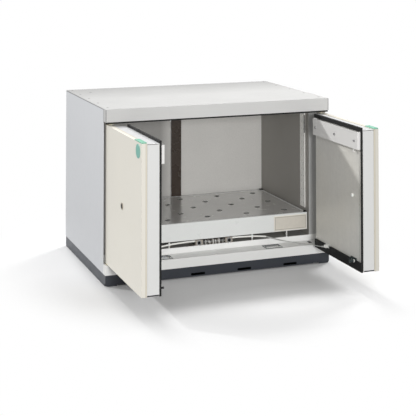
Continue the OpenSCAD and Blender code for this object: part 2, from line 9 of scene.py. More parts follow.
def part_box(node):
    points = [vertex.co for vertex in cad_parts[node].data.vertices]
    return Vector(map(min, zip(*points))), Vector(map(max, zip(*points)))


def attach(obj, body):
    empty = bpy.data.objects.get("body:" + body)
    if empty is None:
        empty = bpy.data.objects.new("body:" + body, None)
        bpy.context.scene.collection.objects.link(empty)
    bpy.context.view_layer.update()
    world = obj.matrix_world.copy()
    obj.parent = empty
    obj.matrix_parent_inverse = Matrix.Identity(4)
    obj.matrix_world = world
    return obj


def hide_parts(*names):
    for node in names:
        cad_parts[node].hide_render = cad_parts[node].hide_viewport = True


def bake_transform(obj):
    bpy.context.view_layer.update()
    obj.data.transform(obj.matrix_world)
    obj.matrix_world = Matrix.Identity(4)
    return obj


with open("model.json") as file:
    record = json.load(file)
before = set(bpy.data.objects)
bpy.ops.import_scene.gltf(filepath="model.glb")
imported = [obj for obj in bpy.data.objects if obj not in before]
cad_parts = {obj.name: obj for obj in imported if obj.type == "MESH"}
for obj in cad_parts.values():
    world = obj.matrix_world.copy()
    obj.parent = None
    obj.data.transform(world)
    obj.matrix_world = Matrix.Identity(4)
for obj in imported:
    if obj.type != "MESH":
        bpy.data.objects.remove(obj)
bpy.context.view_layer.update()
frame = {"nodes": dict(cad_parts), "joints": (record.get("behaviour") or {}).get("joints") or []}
NODES = frame["nodes"]
JOINT = {j["name"]: j for j in frame["joints"]}


# ---------------------------------------------------------------------------
# small geometry helpers
# ---------------------------------------------------------------------------

def add(name, verts, faces, body=None, smooth=False):
    """A mesh object from vertices and faces, in the row frame, riding on a body."""
    me = bpy.data.meshes.new(name)
    me.from_pydata([tuple(v) for v in verts], [], faces)
    me.validate()
    ob = bpy.data.objects.new(name, me)
    bpy.context.scene.collection.objects.link(ob)
    bm = bmesh.new()
    bm.from_mesh(me)
    bmesh.ops.recalc_face_normals(bm, faces=bm.faces)
    bm.to_mesh(me)
    bm.free()
    if smooth:
        for p in me.polygons:
            p.use_smooth = True
    if body:
        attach(ob, body)
    return ob


def from_bm(name, bm, body=None, smooth=True):
    me = bpy.data.meshes.new(name)
    bm.to_mesh(me)
    bm.free()
    ob = bpy.data.objects.new(name, me)
    bpy.context.scene.collection.objects.link(ob)
    if smooth:
        for p in me.polygons:
            p.use_smooth = True
    if body:
        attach(ob, body)
    return ob


_edge_group = None


def edge_group():
    """Smooth shading with sharp edges above 32 degrees, as a modifier."""
    global _edge_group
    if _edge_group:
        return _edge_group
    g = bpy.data.node_groups.new("sharp_by_angle", "GeometryNodeTree")
    g.interface.new_socket("Geometry", in_out="INPUT", socket_type="NodeSocketGeometry")
    g.interface.new_socket("Geometry", in_out="OUTPUT", socket_type="NodeSocketGeometry")
    n = g.nodes
    gi, go = n.new("NodeGroupInput"), n.new("NodeGroupOutput")
    ang = n.new("GeometryNodeInputMeshEdgeAngle")
    cmp_ = n.new("FunctionNodeCompare")
    cmp_.data_type = "FLOAT"
    cmp_.operation = "LESS_THAN"
    cmp_.inputs[1].default_value = math.radians(32)
    s1, s2 = n.new("GeometryNodeSetShadeSmooth"), n.new("GeometryNodeSetShadeSmooth")
    s1.domain, s2.domain = "FACE", "EDGE"
    s1.inputs["Shade Smooth"].default_value = True
    g.links.new(gi.outputs[0], s1.inputs[0])
    g.links.new(s1.outputs[0], s2.inputs[0])
    g.links.new(ang.outputs["Unsigned Angle"], cmp_.inputs[0])
    g.links.new(cmp_.outputs[0], s2.inputs["Shade Smooth"])
    g.links.new(s2.outputs[0], go.inputs[0])
    _edge_group = g
    return g


def soften(ob, width, segments=2, weld=True, angle=35):
    """Welds a tessellated solid, rounds its edges by width and shades it by angle."""
    me = ob.data
    for name in ("custom_normal",):
        if name in me.attributes:
            me.attributes.remove(me.attributes[name])
    if weld:
        w = ob.modifiers.new("weld", "WELD")
        w.merge_threshold = 2e-6
    if weld and width:
        d = ob.modifiers.new("planar", "DECIMATE")
        d.decimate_type = "DISSOLVE"
        d.angle_limit = math.radians(0.6)
    if width:
        b = ob.modifiers.new("edges", "BEVEL")
        b.width = width
        b.segments = segments
        b.limit_method = "ANGLE"
        b.angle_limit = math.radians(angle)
        b.use_clamp_overlap = True
        b.harden_normals = False
        b.miter_outer = "MITER_SHARP"
        c = ob.modifiers.new("tidy", "WELD")
        c.merge_threshold = 4e-6
    m = ob.modifiers.new("shade", "NODES")
    m.node_group = edge_group()
    w = ob.modifiers.new("flats", "WEIGHTED_NORMAL")
    w.mode = "FACE_AREA"
    w.weight = 90
    w.keep_sharp = True
    return ob


# ---------------------------------------------------------------------------
# materials
# ---------------------------------------------------------------------------

class Mat:
    """A small builder for node materials; all patterns use object coordinates in metres."""

    def __init__(self, name):
        self.m = bpy.data.materials.new(name)
        self.m.use_nodes = True
        self.t = self.m.node_tree
        self.t.nodes.clear()
        self.out = self.n("ShaderNodeOutputMaterial")
        self.b = self.n("ShaderNodeBsdfPrincipled")
        self.link(self.b.outputs[0], self.out.inputs[0])
        self.co = self.n("ShaderNodeTexCoord").outputs["Object"]
        self.height = None

    def n(self, kind):
        return self.t.nodes.new(kind)

    def link(self, a, b):
        self.t.links.new(a, b)

    def put(self, value, socket):
        if hasattr(value, "links") or hasattr(value, "is_linked"):
            self.link(value, socket)
        elif isinstance(value, (tuple, list)) and len(value) == 3 and socket.type == "RGBA":
            socket.default_value = (*value, 1)
        else:
            socket.default_value = value

    def set(self, **kw):
        for k, v in kw.items():
            self.put(v, self.b.inputs[k.replace("_", " ")])
        return self

    def noise(self, scale, detail=2.0, rough=0.5, co=None, distort=0.0):
        x = self.n("ShaderNodeTexNoise")
        x.inputs["Scale"].default_value = scale
        x.inputs["Detail"].default_value = detail
        x.inputs["Roughness"].default_value = rough
        x.inputs["Distortion"].default_value = distort
        self.link(co if co is not None else self.co, x.inputs["Vector"])
        return x.outputs["Fac"]

    def voronoi(self, scale, feature="F1", co=None, out="Distance"):
        x = self.n("ShaderNodeTexVoronoi")
        x.feature = feature
        x.inputs["Scale"].default_value = scale
        self.link(co if co is not None else self.co, x.inputs["Vector"])
        return x.outputs[out]

    def stretch(self, s):
        x = self.n("ShaderNodeMapping")
        x.inputs["Scale"].default_value = s
        self.link(self.co, x.inputs["Vector"])
        return x.outputs[0]

    def math(self, op, a, b=0.0, c=0.0, clamp=False):
        x = self.n("ShaderNodeMath")
        x.operation = op
        x.use_clamp = clamp
        for i, v in enumerate((a, b, c)):
            self.put(v, x.inputs[i])
        return x.outputs[0]

    def remap(self, v, a, b, c, d):
        x = self.n("ShaderNodeMapRange")
        x.clamp = True
        self.put(v, x.inputs["Value"])
        for k, w in zip(("From Min", "From Max", "To Min", "To Max"), (a, b, c, d)):
            x.inputs[k].default_value = w
        return x.outputs[0]

    def mix(self, f, a, b, mode="MIX"):
        x = self.n("ShaderNodeMix")
        x.data_type = "RGBA"
        x.blend_type = mode
        self.put(f, x.inputs[0])
        self.put(a if not isinstance(a, tuple) else (*a, 1), x.inputs[6])
        self.put(b if not isinstance(b, tuple) else (*b, 1), x.inputs[7])
        return x.outputs[2]

    def bump(self, height, distance, strength=1.0):
        x = self.n("ShaderNodeBump")
        x.inputs["Distance"].default_value = distance
        x.inputs["Strength"].default_value = strength
        self.put(height, x.inputs["Height"])
        if self.height is not None:
            self.link(self.height, x.inputs["Normal"])
        self.height = x.outputs[0]
        self.link(self.height, self.b.inputs["Normal"])
        return self

    def edge(self, radius=0.0005):
        """0 on flats, rising to 1 on outer edges."""
        bev = self.n("ShaderNodeBevel")
        bev.samples = 4
        bev.inputs["Radius"].default_value = radius
        geo = self.n("ShaderNodeNewGeometry")
        d = self.n("ShaderNodeVectorMath")
        d.operation = "DOT_PRODUCT"
        self.link(bev.outputs[0], d.inputs[0])
        self.link(geo.outputs["True Normal"], d.inputs[1])
        return self.remap(d.outputs["Value"], 0.985, 0.75, 0.0, 1.0)

    def crevice(self, distance=0.02, samples=4):
        """1 in the open, falling in tight corners."""
        ao = self.n("ShaderNodeAmbientOcclusion")
        ao.samples = samples
        ao.inputs["Distance"].default_value = distance
        return ao.outputs["AO"]

    def sep(self):
        x = self.n("ShaderNodeSeparateXYZ")
        self.link(self.co, x.inputs[0])
        return x.outputs


def lin(r, g, b):
    """sRGB 0-255 to linear."""
    return tuple(((c / 255) / 12.92 if c <= 10 else ((c / 255 + 0.055) / 1.055) ** 2.4) for c in (r, g, b))


def scale3(c, f):
    return tuple(min(1.0, x * f) for x in c)


def powder(name, color, rough=0.42, peel=0.00006, grain=900, edge_wear_highlight=(0.9, 0.9, 0.88), edge_wear_highlight_amount=0.25, crevice_shade_amount=0.12, spec=0.5, coat=0.0, place=None):
    """Powder-coated steel: orange peel, slight tone drift, paler edges (thin paint and a painted highlight), corners
    darkened as painted shade.
    """
    m = Mat(name)
    tone = m.remap(m.noise(2.2, 3, 0.55), 0.3, 0.7, 0.985, 1.012)
    speck = m.remap(m.noise(grain * 0.7, 1, 0.5), 0.35, 0.65, 0.985, 1.015)
    v = m.math("MULTIPLY", tone, speck)
    if place:
        v = m.math("MULTIPLY", v, place(m))
    base = m.mix(1.0, tuple(color), v, "MULTIPLY")
    # paler edges: partly worn thin paint, partly a painted highlight
    e = m.math("MULTIPLY", m.edge(), m.remap(m.noise(60, 4, 0.7), 0.42, 0.62, 0.1, 1.0))
    base = m.mix(m.math("MULTIPLY", e, edge_wear_highlight_amount), base, tuple(edge_wear_highlight))
    # corners darkened from an occlusion pass, broken up by noise: painted shade
    crevice_shade = m.remap(m.crevice(0.018), 0.25, 0.85, 1.0, 0.0)
    crevice_shade = m.math("MULTIPLY", crevice_shade, m.remap(m.noise(14, 4, 0.65), 0.3, 0.7, 0.4, 1.0))
    base = m.mix(m.math("MULTIPLY", crevice_shade, crevice_shade_amount), base, scale3(color, 0.35))
    r = m.math("ADD", m.remap(m.noise(9, 4, 0.6), 0.3, 0.7, -0.05, 0.06), rough)
    smudge = m.remap(m.noise(28, 3, 0.5, distort=0.8), 0.56, 0.7, 0.0, 0.08)
    m.set(Base_Color=base, Roughness=m.math("ADD", r, smudge), Specular_IOR_Level=spec)
    if coat:
        m.set(Coat_Weight=coat, Coat_Roughness=0.12)
    m.bump(m.noise(grain, 2, 0.5), peel)
    m.bump(m.noise(5, 1, 0.4), 0.0002, 0.2)
    return m.m


def metal(name, color, rough=0.3, metallic=1.0, scratch=0.00002, brush=None, crevice_shade_amount=0.25):
    """Bare or plated metal: fine brushing or scratches, smudges, and corners painted darker as shade."""
    m = Mat(name)
    co = m.stretch(brush) if brush else m.co
    fine = m.noise(1400 if brush is None else 420, 3, 0.6, co=co)
    tone = m.remap(fine, 0.3, 0.7, 0.9, 1.08)
    base = m.mix(1.0, tuple(color), tone, "MULTIPLY")
    # corners darkened from an occlusion pass: painted shade
    crevice_shade = m.remap(m.crevice(0.008), 0.2, 0.8, 1.0, 0.0)
    base = m.mix(m.math("MULTIPLY", crevice_shade, crevice_shade_amount), base, scale3(color, 0.3))
    r = m.math("ADD", m.remap(m.noise(40, 4, 0.6), 0.3, 0.7, -0.06, 0.1), rough)
    r = m.math("ADD", r, m.remap(fine, 0.3, 0.7, -0.04, 0.05))
    m.set(Base_Color=base, Roughness=r, Metallic=metallic)
    m.bump(fine, scratch)
    return m.m



M = {}



def side_shade_and_joints(m):
    """A little deeper towards the floor as painted shade, with a dark joint line along the top and beside the fascia.
    """
    x, y, z = m.sep()
    # darker low down: painted shade
    v = m.remap(z, 0.05, 0.60, 0.93, 1.03)
    v = m.math("MULTIPLY", v, m.remap(z, 0.5952, 0.5960, 1.0, 0.55))
    front = m.math("MULTIPLY", m.remap(y, -0.2568, -0.2574, 0.0, 1.0), m.remap(z, 0.553, 0.555, 0.0, 1.0))
    front = m.math("MULTIPLY", front, m.remap(y, -0.2680, -0.2686, 1.0, 0.0))
    return m.math("MULTIPLY", v, m.math("SUBTRACT", 1.0, m.math("MULTIPLY", front, 0.6)))


def cover_painted_light(m):
    """Front face of the fascia a shade deeper and lighter to the right, the top lighter to the right and darker to the
    back, all painted light and shade; dark hairline at the folded corner.
    """
    x, y, z = m.sep()
    face = m.remap(y, -0.2866, -0.2862, 1.0, 0.0)
    front = m.math("ADD", m.remap(x, -0.42, -0.10, 0.86, 0.98), m.remap(x, 0.10, 0.40, 0.0, -0.02))
    top = m.math("MULTIPLY", m.remap(x, -0.425, -0.05, 0.82, 0.89), m.remap(y, -0.02, 0.28, 1.0, 0.70))
    v = m.math("ADD", m.math("MULTIPLY", face, front), m.math("MULTIPLY", m.math("SUBTRACT", 1.0, face), top))
    ax = m.math("ABSOLUTE", x)
    line = m.math("MULTIPLY", m.remap(ax, 0.4246, 0.4248, 0, 1), m.remap(y, -0.2850, -0.2854, 0, 1))
    return m.math("MULTIPLY", v, m.math("SUBTRACT", 1.0, m.math("MULTIPLY", line, 0.5)))


def frame_post_shade(m):
    """Posts painted deeper than the lower band, as painted shade."""
    x, y, z = m.sep()
    return m.remap(z, 0.0885, 0.0925, 1.0, 0.53)


def closer_end_highlight(m):
    """Bright end face, a painted highlight."""
    x, y, z = m.sep()
    return m.remap(y, -0.6655, -0.6662, 1.0, 1.12)


M["side"] = powder("side_paint", (0.648, 0.660, 0.680), rough=0.48, peel=0.00006, place=side_shade_and_joints)
M["cover"] = powder("cover_paint", (0.655, 0.652, 0.640), rough=0.42, place=cover_painted_light)
M["sill"] = powder("sill_paint", (0.790, 0.790, 0.774), rough=0.34)


def plinth_tone(m):
    """The side walls catch more light than the front."""
    x, y, z = m.sep()
    return m.remap(m.math("ABSOLUTE", x), 0.4236, 0.4242, 1.0, 1.55)


M["plinth"] = powder("plinth_paint", (0.034, 0.038, 0.047), rough=0.32, edge_wear_highlight=lin(120, 122, 126), edge_wear_highlight_amount=0.35, crevice_shade_amount=0.3, place=plinth_tone)
def casing_face_shade(m):
    """Upright faces a shade lighter than the turned-in top, painted light and shade."""
    x, y, z = m.sep()
    return m.remap(z, 0.5430, 0.5434, 1.13, 0.90)


M["casing"] = powder("casing_paint", (0.690, 0.692, 0.700), rough=0.38, place=casing_face_shade)
M["endplate"] = powder("end_plate_paint", (0.680, 0.680, 0.668), rough=0.34)
M["closer"] = powder("closer_paint", (0.690, 0.680, 0.666), rough=0.34, place=closer_end_highlight)
M["tray"] = powder("tray_paint", (0.790, 0.805, 0.790), rough=0.30)
M["insert"] = powder("insert_paint", (0.610, 0.606, 0.590), rough=0.20, coat=1.0)
M["frame"] = powder("frame_paint", (0.900, 0.902, 0.888), rough=0.40, place=frame_post_shade)


def door_laminate():
    """Cream laminate front: very fine pearl texture, satin sheen, and a beige edge seam next to the casing."""
    m = Mat("door_laminate")
    c = (0.800, 0.770, 0.690)
    tone = m.remap(m.noise(1.7, 3, 0.5), 0.3, 0.7, 0.985, 1.012)
    fine = m.noise(1500, 2, 0.6)
    x, y, z = m.sep()
    # free end face painted darker, more on the right door than the left: painted shade
    end = m.remap(y, -0.6730, -0.6734, 0.0, 1.0)
    end_face_shade = m.remap(x, -0.1, 0.1, 0.09, 0.20)
    tone = m.math("MULTIPLY", tone, m.math("SUBTRACT", 1.0, m.math("MULTIPLY", end, end_face_shade)))
    base = m.mix(1.0, c, m.math("MULTIPLY", tone, m.remap(fine, 0.3, 0.7, 0.985, 1.015)), "MULTIPLY")
    ax = m.math("ABSOLUTE", x)
    seam = m.math("MULTIPLY", m.remap(ax, 0.3980, 0.3984, 0, 1), m.remap(ax, 0.4030, 0.4034, 1, 0))
    line = m.math("MULTIPLY", m.remap(ax, 0.4030, 0.4032, 0, 1), m.remap(ax, 0.4037, 0.4039, 1, 0))
    seam = m.math("MULTIPLY", seam, m.remap(m.noise(40, 3, 0.6), 0.3, 0.7, 0.85, 1.0))
    base = m.mix(seam, base, (0.620, 0.575, 0.475))
    base = m.mix(m.math("MULTIPLY", line, 0.55), base, (0.330, 0.290, 0.220))
    e = m.math("MULTIPLY", m.edge(0.0006), m.remap(m.noise(50, 4, 0.7), 0.4, 0.62, 0.2, 1.0))
    base = m.mix(m.math("MULTIPLY", e, 0.35), base, (0.780, 0.755, 0.685))
    # corners darkened from an occlusion pass: painted shade
    crevice_shade = m.remap(m.crevice(0.02), 0.25, 0.85, 1.0, 0.0)
    base = m.mix(m.math("MULTIPLY", crevice_shade, 0.1), base, lin(120, 112, 98))
    smudge = m.remap(m.noise(11, 4, 0.6, distort=0.6), 0.5, 0.72, 0.0, 0.1)
    m.set(Base_Color=base, Roughness=m.math("ADD", smudge, 0.34), Specular_IOR_Level=0.45)
    m.bump(fine, 0.00003)
    m.bump(m.voronoi(700), 0.00003, 0.6)
    return m.m


def zinc():
    """Galvanised sheet: soft spangle, faint vertical roll marks, satin metal."""
    m = Mat("zinc_sheet")
    cell = m.voronoi(95, out="Color")
    bw = m.n("ShaderNodeRGBToBW")
    m.link(cell, bw.inputs[0])
    spangle = m.remap(bw.outputs[0], 0.1, 0.9, 0.965, 1.03)
    roll = m.remap(m.noise(160, 3, 0.6, co=m.stretch((1, 1, 0.02))), 0.3, 0.7, 0.975, 1.025)
    cloud = m.remap(m.noise(3.5, 4, 0.6), 0.3, 0.7, 0.955, 1.045)
    base = m.mix(1.0, (0.725, 0.715, 0.680), m.math("MULTIPLY", m.math("MULTIPLY", spangle, roll), cloud), "MULTIPLY")
    warm = m.remap(m.noise(2.6, 2, 0.5), 0.45, 0.7, 0.0, 0.5)
    base = m.mix(warm, base, (0.735, 0.700, 0.610))
    # corners darkened from an occlusion pass: painted shade
    crevice_shade = m.remap(m.crevice(0.02), 0.25, 0.85, 1.0, 0.0)
    base = m.mix(m.math("MULTIPLY", crevice_shade, 0.2), base, lin(90, 86, 80))
    r = m.math("ADD", m.remap(bw.outputs[0], 0.1, 0.9, -0.04, 0.04), 0.40)
    m.set(Base_Color=base, Roughness=m.math("ADD", r, m.remap(m.noise(20, 4, 0.6), 0.3, 0.7, -0.04, 0.05)), Metallic=0.22)
    m.bump(m.noise(500, 3, 0.6, co=m.stretch((1, 1, 0.05))), 0.00002)
    m.bump(m.voronoi(95), 0.00001)
    return m.m


def rubber(name="seal_rubber", tone=30):
    m = Mat(name)
    base = m.mix(m.remap(m.noise(120, 4, 0.6), 0.3, 0.7, 0.0, 1.0), lin(tone - 6, tone - 6, tone - 5), lin(tone + 8, tone + 8, tone + 7))
    dust = m.remap(m.crevice(0.01), 0.3, 0.9, 1.0, 0.0)
    base = m.mix(m.math("MULTIPLY", dust, 0.1), base, lin(80, 78, 74))
    m.set(Base_Color=base, Roughness=m.remap(m.noise(60, 3, 0.5), 0.3, 0.7, 0.6, 0.78), Specular_IOR_Level=0.25)
    m.bump(m.noise(1600, 2, 0.6), 0.00005)
    return m.m


def rear_wall_shadow(m):
    """Slightly deeper to the left of the duct, as a painted shadow."""
    x, y, z = m.sep()
    return m.remap(x, -0.06, -0.01, 0.43, 0.88)


def lining(name, color, speck=0.04, place=None):
    """Laminate lining board: fine speckle, cloudy tone, corners painted darker as shade."""
    m = Mat(name)
    s = m.remap(m.noise(420, 2, 0.7), 0.35, 0.65, 1 - speck, 1 + speck)
    cloud = m.remap(m.noise(4, 5, 0.6), 0.3, 0.7, 0.965, 1.03)
    v = m.math("MULTIPLY", s, cloud)
    if place:
        v = m.math("MULTIPLY", v, place(m))
    base = m.mix(1.0, tuple(color), v, "MULTIPLY")
    # corners darkened from an occlusion pass: painted shade
    crevice_shade = m.remap(m.crevice(0.03), 0.25, 0.9, 1.0, 0.0)
    base = m.mix(m.math("MULTIPLY", crevice_shade, 0.18), base, scale3(color, 0.4))
    m.set(Base_Color=base, Roughness=m.remap(m.noise(16, 4, 0.6), 0.3, 0.7, 0.34, 0.48))
    m.bump(m.noise(800, 2, 0.6), 0.00003)
    return m.m


def board(name="fire_board"):
    m = Mat(name)
    c = lin(226, 218, 200)
    base = m.mix(m.remap(m.noise(90, 6, 0.7), 0.3, 0.7, 0, 1), scale3(c, 0.86), c)
    fib = m.remap(m.noise(300, 4, 0.7, co=m.stretch((1, 0.15, 1))), 0.4, 0.7, 0.0, 0.35)
    base = m.mix(fib, base, lin(190, 180, 160))
    m.set(Base_Color=base, Roughness=0.92)
    m.bump(m.noise(420, 6, 0.75), 0.0003)
    return m.m


def plastic(name, color, rough=0.35, sss=0.05):
    m = Mat(name)
    tone = m.remap(m.noise(30, 3, 0.5), 0.3, 0.7, 0.96, 1.03)
    base = m.mix(1.0, tuple(color), tone, "MULTIPLY")
    # paler edges: partly wear, partly a painted highlight
    e = m.edge(0.0005)
    base = m.mix(m.math("MULTIPLY", e, 0.3), base, scale3(color, 1.25))
    m.set(Base_Color=base, Roughness=m.remap(m.noise(45, 3, 0.5), 0.3, 0.7, rough - 0.05, rough + 0.08), Subsurface_Weight=sss, Subsurface_Scale=0.004)
    m.bump(m.noise(1800, 2, 0.5), 0.00003)
    return m.m


def painted_shade_black():
    """Matt black with hardly any sheen, standing in for the shade in slots and holes: painted shade."""
    m = Mat("painted_shade_black_matt")
    base = m.mix(m.remap(m.noise(60, 3, 0.5), 0.3, 0.7, 0, 1), (0.0006, 0.0006, 0.0006), (0.0014, 0.0014, 0.0014))
    m.set(Base_Color=base, Roughness=0.95, Specular_IOR_Level=0.0)
    m.bump(m.noise(900, 2, 0.5), 0.00003)
    return m.m


M["cream"] = door_laminate()
M["zinc"] = zinc()
M["rubber"] = rubber()
M["lining"] = lining("lining_board", (0.840, 0.824, 0.790), place=rear_wall_shadow)
# side walls, ceiling and floor take darker copies of the lining board: painted shade
M["lining_shaded_side"] = lining("lining_board_shaded_side", (0.330, 0.315, 0.290))
M["lining_shaded_floor"] = lining("lining_board_shaded_floor", (0.420, 0.410, 0.390))
M["board"] = board()
M["disc"] = plastic("green_disc", (0.185, 0.470, 0.395), 0.36)
M["mint"] = plastic("mint_clip", (0.215, 0.505, 0.375), 0.40)
M["white"] = plastic("white_plastic", lin(240, 240, 236), 0.28)
M["black"] = plastic("black_plastic", (0.010, 0.010, 0.011), 0.5, 0.0)
# dark grey for joints, also used for a painted shadow line
M["seam"] = plastic("joint_and_shadow_line", (0.16, 0.165, 0.17), 0.5)
M["shade_void"] = painted_shade_black()
M["duct"] = powder("duct_paint", (0.040, 0.025, 0.016), rough=0.26, edge_wear_highlight=lin(110, 90, 74), crevice_shade_amount=0.4, coat=0.2)
M["chrome"] = metal("chrome_parts", lin(224, 226, 228), 0.14, 1.0, 0.000012)
M["pocket"] = metal("pocket_chrome", lin(214, 216, 218), 0.2, 1.0, 0.000012, crevice_shade_amount=0.85)
M["steel"] = metal("steel_parts", lin(214, 212, 207), 0.34, 0.45, 0.00002)
M["cable"] = metal("cable_sleeve", lin(243, 243, 238), 0.34, 0.1, 0.00002, crevice_shade_amount=0.1)
M["wire"] = metal("steel_wire", lin(186, 187, 184), 0.34, 0.3, 0.00002, crevice_shade_amount=0.3)
M["dull"] = metal("dull_steel", lin(176, 168, 158), 0.36, 0.45, 0.00003)
M["bright"] = metal("bright_zinc", lin(240, 240, 236), 0.26, 0.35, 0.00002, crevice_shade_amount=0.35)
M["gunmetal"] = metal("pocket_edge", lin(74, 84, 84), 0.3, 0.6, 0.00002)
M["dark_screw"] = metal("dark_screw", lin(104, 104, 106), 0.4, 0.6, 0.00002)
M["rail"] = metal("rail_steel", lin(253, 252, 247), 0.30, 0.0, 0.00002, brush=(1, 1, 0.04), crevice_shade_amount=0.1)
M["screw"] = metal("screw_zinc", lin(156, 156, 158), 0.36, 0.8, 0.00002)
M["lock"] = metal("lock_metal", lin(176, 166, 150), 0.3, 0.6, 0.00002)
M["brass"] = metal("brass_parts", lin(196, 160, 92), 0.28, 1.0, 0.00003)
M["yellow_zinc"] = metal("yellow_zinc", lin(214, 203, 168), 0.34, 0.6, 0.00002)


def label_blank():
    """Blank plate: cream film with a thin darker border line, no lettering."""
    m = Mat("label_blank")
    x, y, z = m.sep()
    lo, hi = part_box("label_plate")
    cx, cz = (lo.x + hi.x) / 2, (lo.z + hi.z) / 2
    dx = m.math("SUBTRACT", (hi.x - lo.x) / 2, m.math("ABSOLUTE", m.math("SUBTRACT", x, cx)))
    dz = m.math("SUBTRACT", (hi.z - lo.z) / 2, m.math("ABSOLUTE", m.math("SUBTRACT", z, cz)))
    d = m.math("MINIMUM", dx, dz)
    line = m.math("MULTIPLY", m.remap(d, 0.0044, 0.0049, 0, 1), m.remap(d, 0.0060, 0.0065, 1, 0))
    c = (0.690, 0.650, 0.575)
    base = m.mix(m.remap(m.noise(70, 5, 0.6), 0.3, 0.7, 0, 1), scale3(c, 0.93), c)
    base = m.mix(m.math("MULTIPLY", line, 0.6), base, (0.200, 0.180, 0.150))
    base = m.mix(m.remap(d, 0.0022, 0.0030, 0.8, 0.0), base, (0.880, 0.850, 0.780))
    m.set(Base_Color=base, Roughness=m.remap(m.noise(30, 3, 0.5), 0.3, 0.7, 0.3, 0.42))
    m.bump(m.noise(900, 2, 0.5), 0.00003)
    return m.m


M["label"] = label_blank()

USE = {
    "outer_side_left": ("side", 0.0006), "outer_side_right": ("side", 0.0006), "rear_panel": ("side", 0),
    "base_pan": ("side", 0), "top_cover": ("cover", 0.0009), "sill_fascia": ("sill", 0.0006),
    "door_frame": ("frame", 0.0005), "top_screws": ("dark_screw", 0.0003), "levelling_feet": ("dull", 0.0006),
    "latch_pockets": ("pocket", 0.0003), "hinge_mounts": ("yellow_zinc", 0.0004), "plinth": ("plinth", 0.0007),
    "exhaust_spigot": ("steel", 0.0004), "earth_stud": ("brass", 0.0002),
    "liner_rear": ("lining", 0), "liner_left": ("lining_shaded_side", 0), "liner_right": ("lining_shaded_side", 0),
    "liner_ceiling": ("lining_shaded_side", 0), "liner_floor": ("lining_shaded_floor", 0),
    "frame_seal": ("rubber", 0.0006), "duct_cover": ("duct", 0.0008), "shelf_rails": ("rail", 0.0002),
    "mechanism_plate": ("dull", 0.0004), "lever_left": ("chrome", 0.0004), "lever_right": ("chrome", 0.0004),
    "guide_tubes": ("steel", 0.0002), "cable_left": ("steel", 0), "cable_right": ("steel", 0),
    "tray_supports": ("bright", 0.0003), "sump_tray": ("tray", 0.0009), "tray_corner_caps": ("rubber", 0.0008),
    "label_plate": ("label", 0.0003), "perforated_insert": ("insert", 0),
    "lock_cylinder": ("lock", 0.0003), "lock_rod": ("steel", 0.0003),
    "door_left_disc": ("disc", 0.0004), "door_right_cap": ("white", 0.0006),
}
for n in NODES:
    if n.startswith("insulation"):
        USE[n] = ("board", 0)
for d in ("left", "right"):
    USE[f"door_{d}_panel"] = ("cream", 0.0008)
    USE[f"door_{d}_casing"] = ("casing", 0.0007)
    USE[f"door_{d}_core"] = ("board", 0)
    USE[f"door_{d}_inner"] = ("zinc", 0.0002)
    USE[f"door_{d}_seal"] = ("rubber", 0.0010)
    USE[f"door_{d}_closer"] = ("closer", 0.0007)
    USE[f"door_{d}_clip"] = ("mint", 0.0007)
    USE[f"door_{d}_catch"] = ("gunmetal", 0.0004)
    USE[f"door_{d}_anchor"] = ("bright", 0.0004)

for n, ob in NODES.items():
    key, width = USE[n]
    ob.data.materials.clear()
    ob.data.materials.append(M[key])
    soften(ob, width)

# ---------------------------------------------------------------------------
# extra mesh pieces, in millimetres, built in a local frame and carried over
# ---------------------------------------------------------------------------

DEPTH = (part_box("outer_side_left")[1].y) * 2000.0      # depth of the body, mm
HX, HY = 402.4, 14.1                                   # door pivot, from the front plane


def P(x, y, z):
    """Front-plane millimetres to the row frame."""
    return Vector((x, y - DEPTH / 2, z)) / 1000


def DR(x, y, z):
    """A point of the right door, given as if the door were closed."""
    return P(HX - (y - HY), HY + (x - HX), z)


def DL(x, y, z):
    v = DR(x, y, z)
    return Vector((-v.x, v.y, v.z))


def MIR(x, y, z):
    return P(-x, y, z)


DOORS = (("left", DL), ("right", DR))
SIDES = (("left", MIR), ("right", P))


def mesh(name, verts, faces, F, body, mat, bevel=0.0, smooth=True):
    ob = add(name, [F(*v) for v in verts], faces, body)
    ob.data.materials.append(M[mat])
    if smooth:
        for p in ob.data.polygons:
            p.use_smooth = True
    if bevel or smooth:
        soften(ob, bevel / 1000, weld=False, angle=40)
    return ob


def extrude(name, poly, axis, a0, a1, F, body, mat, bevel=0.4):
    """A polygon across an axis, extruded along it. poly holds the two other coordinates in xyz order."""
    n = len(poly)

    def at(p, a):
        return {"x": (a, p[0], p[1]), "y": (p[0], a, p[1]), "z": (p[0], p[1], a)}[axis]

    verts = [at(p, a0) for p in poly] + [at(p, a1) for p in poly]
    faces = [tuple(range(n)), tuple(range(2 * n - 1, n - 1, -1))]
    faces += [(i, (i + 1) % n, n + (i + 1) % n, n + i) for i in range(n)]
    return mesh(name, verts, faces, F, body, mat, bevel)


def folded(pts, t):
    """Outline of a folded sheet of thickness t along a polyline."""
    pts = [Vector(p) for p in pts]
    left, right = [], []
    for i, p in enumerate(pts):
        a = (p - pts[i - 1]).normalized() if i else None
        b = (pts[i + 1] - p).normalized() if i < len(pts) - 1 else None
        if a is None:
            d, k = b, 1.0
        elif b is None:
            d, k = a, 1.0
        else:
            d = (a + b).normalized()
            k = 1.0 / max(0.3, d.dot(a))
        nrm = Vector((-d.y, d.x)) * (t / 2 * k)
        left.append(tuple(p + nrm))
        right.append(tuple(p - nrm))
    return left + right[::-1]


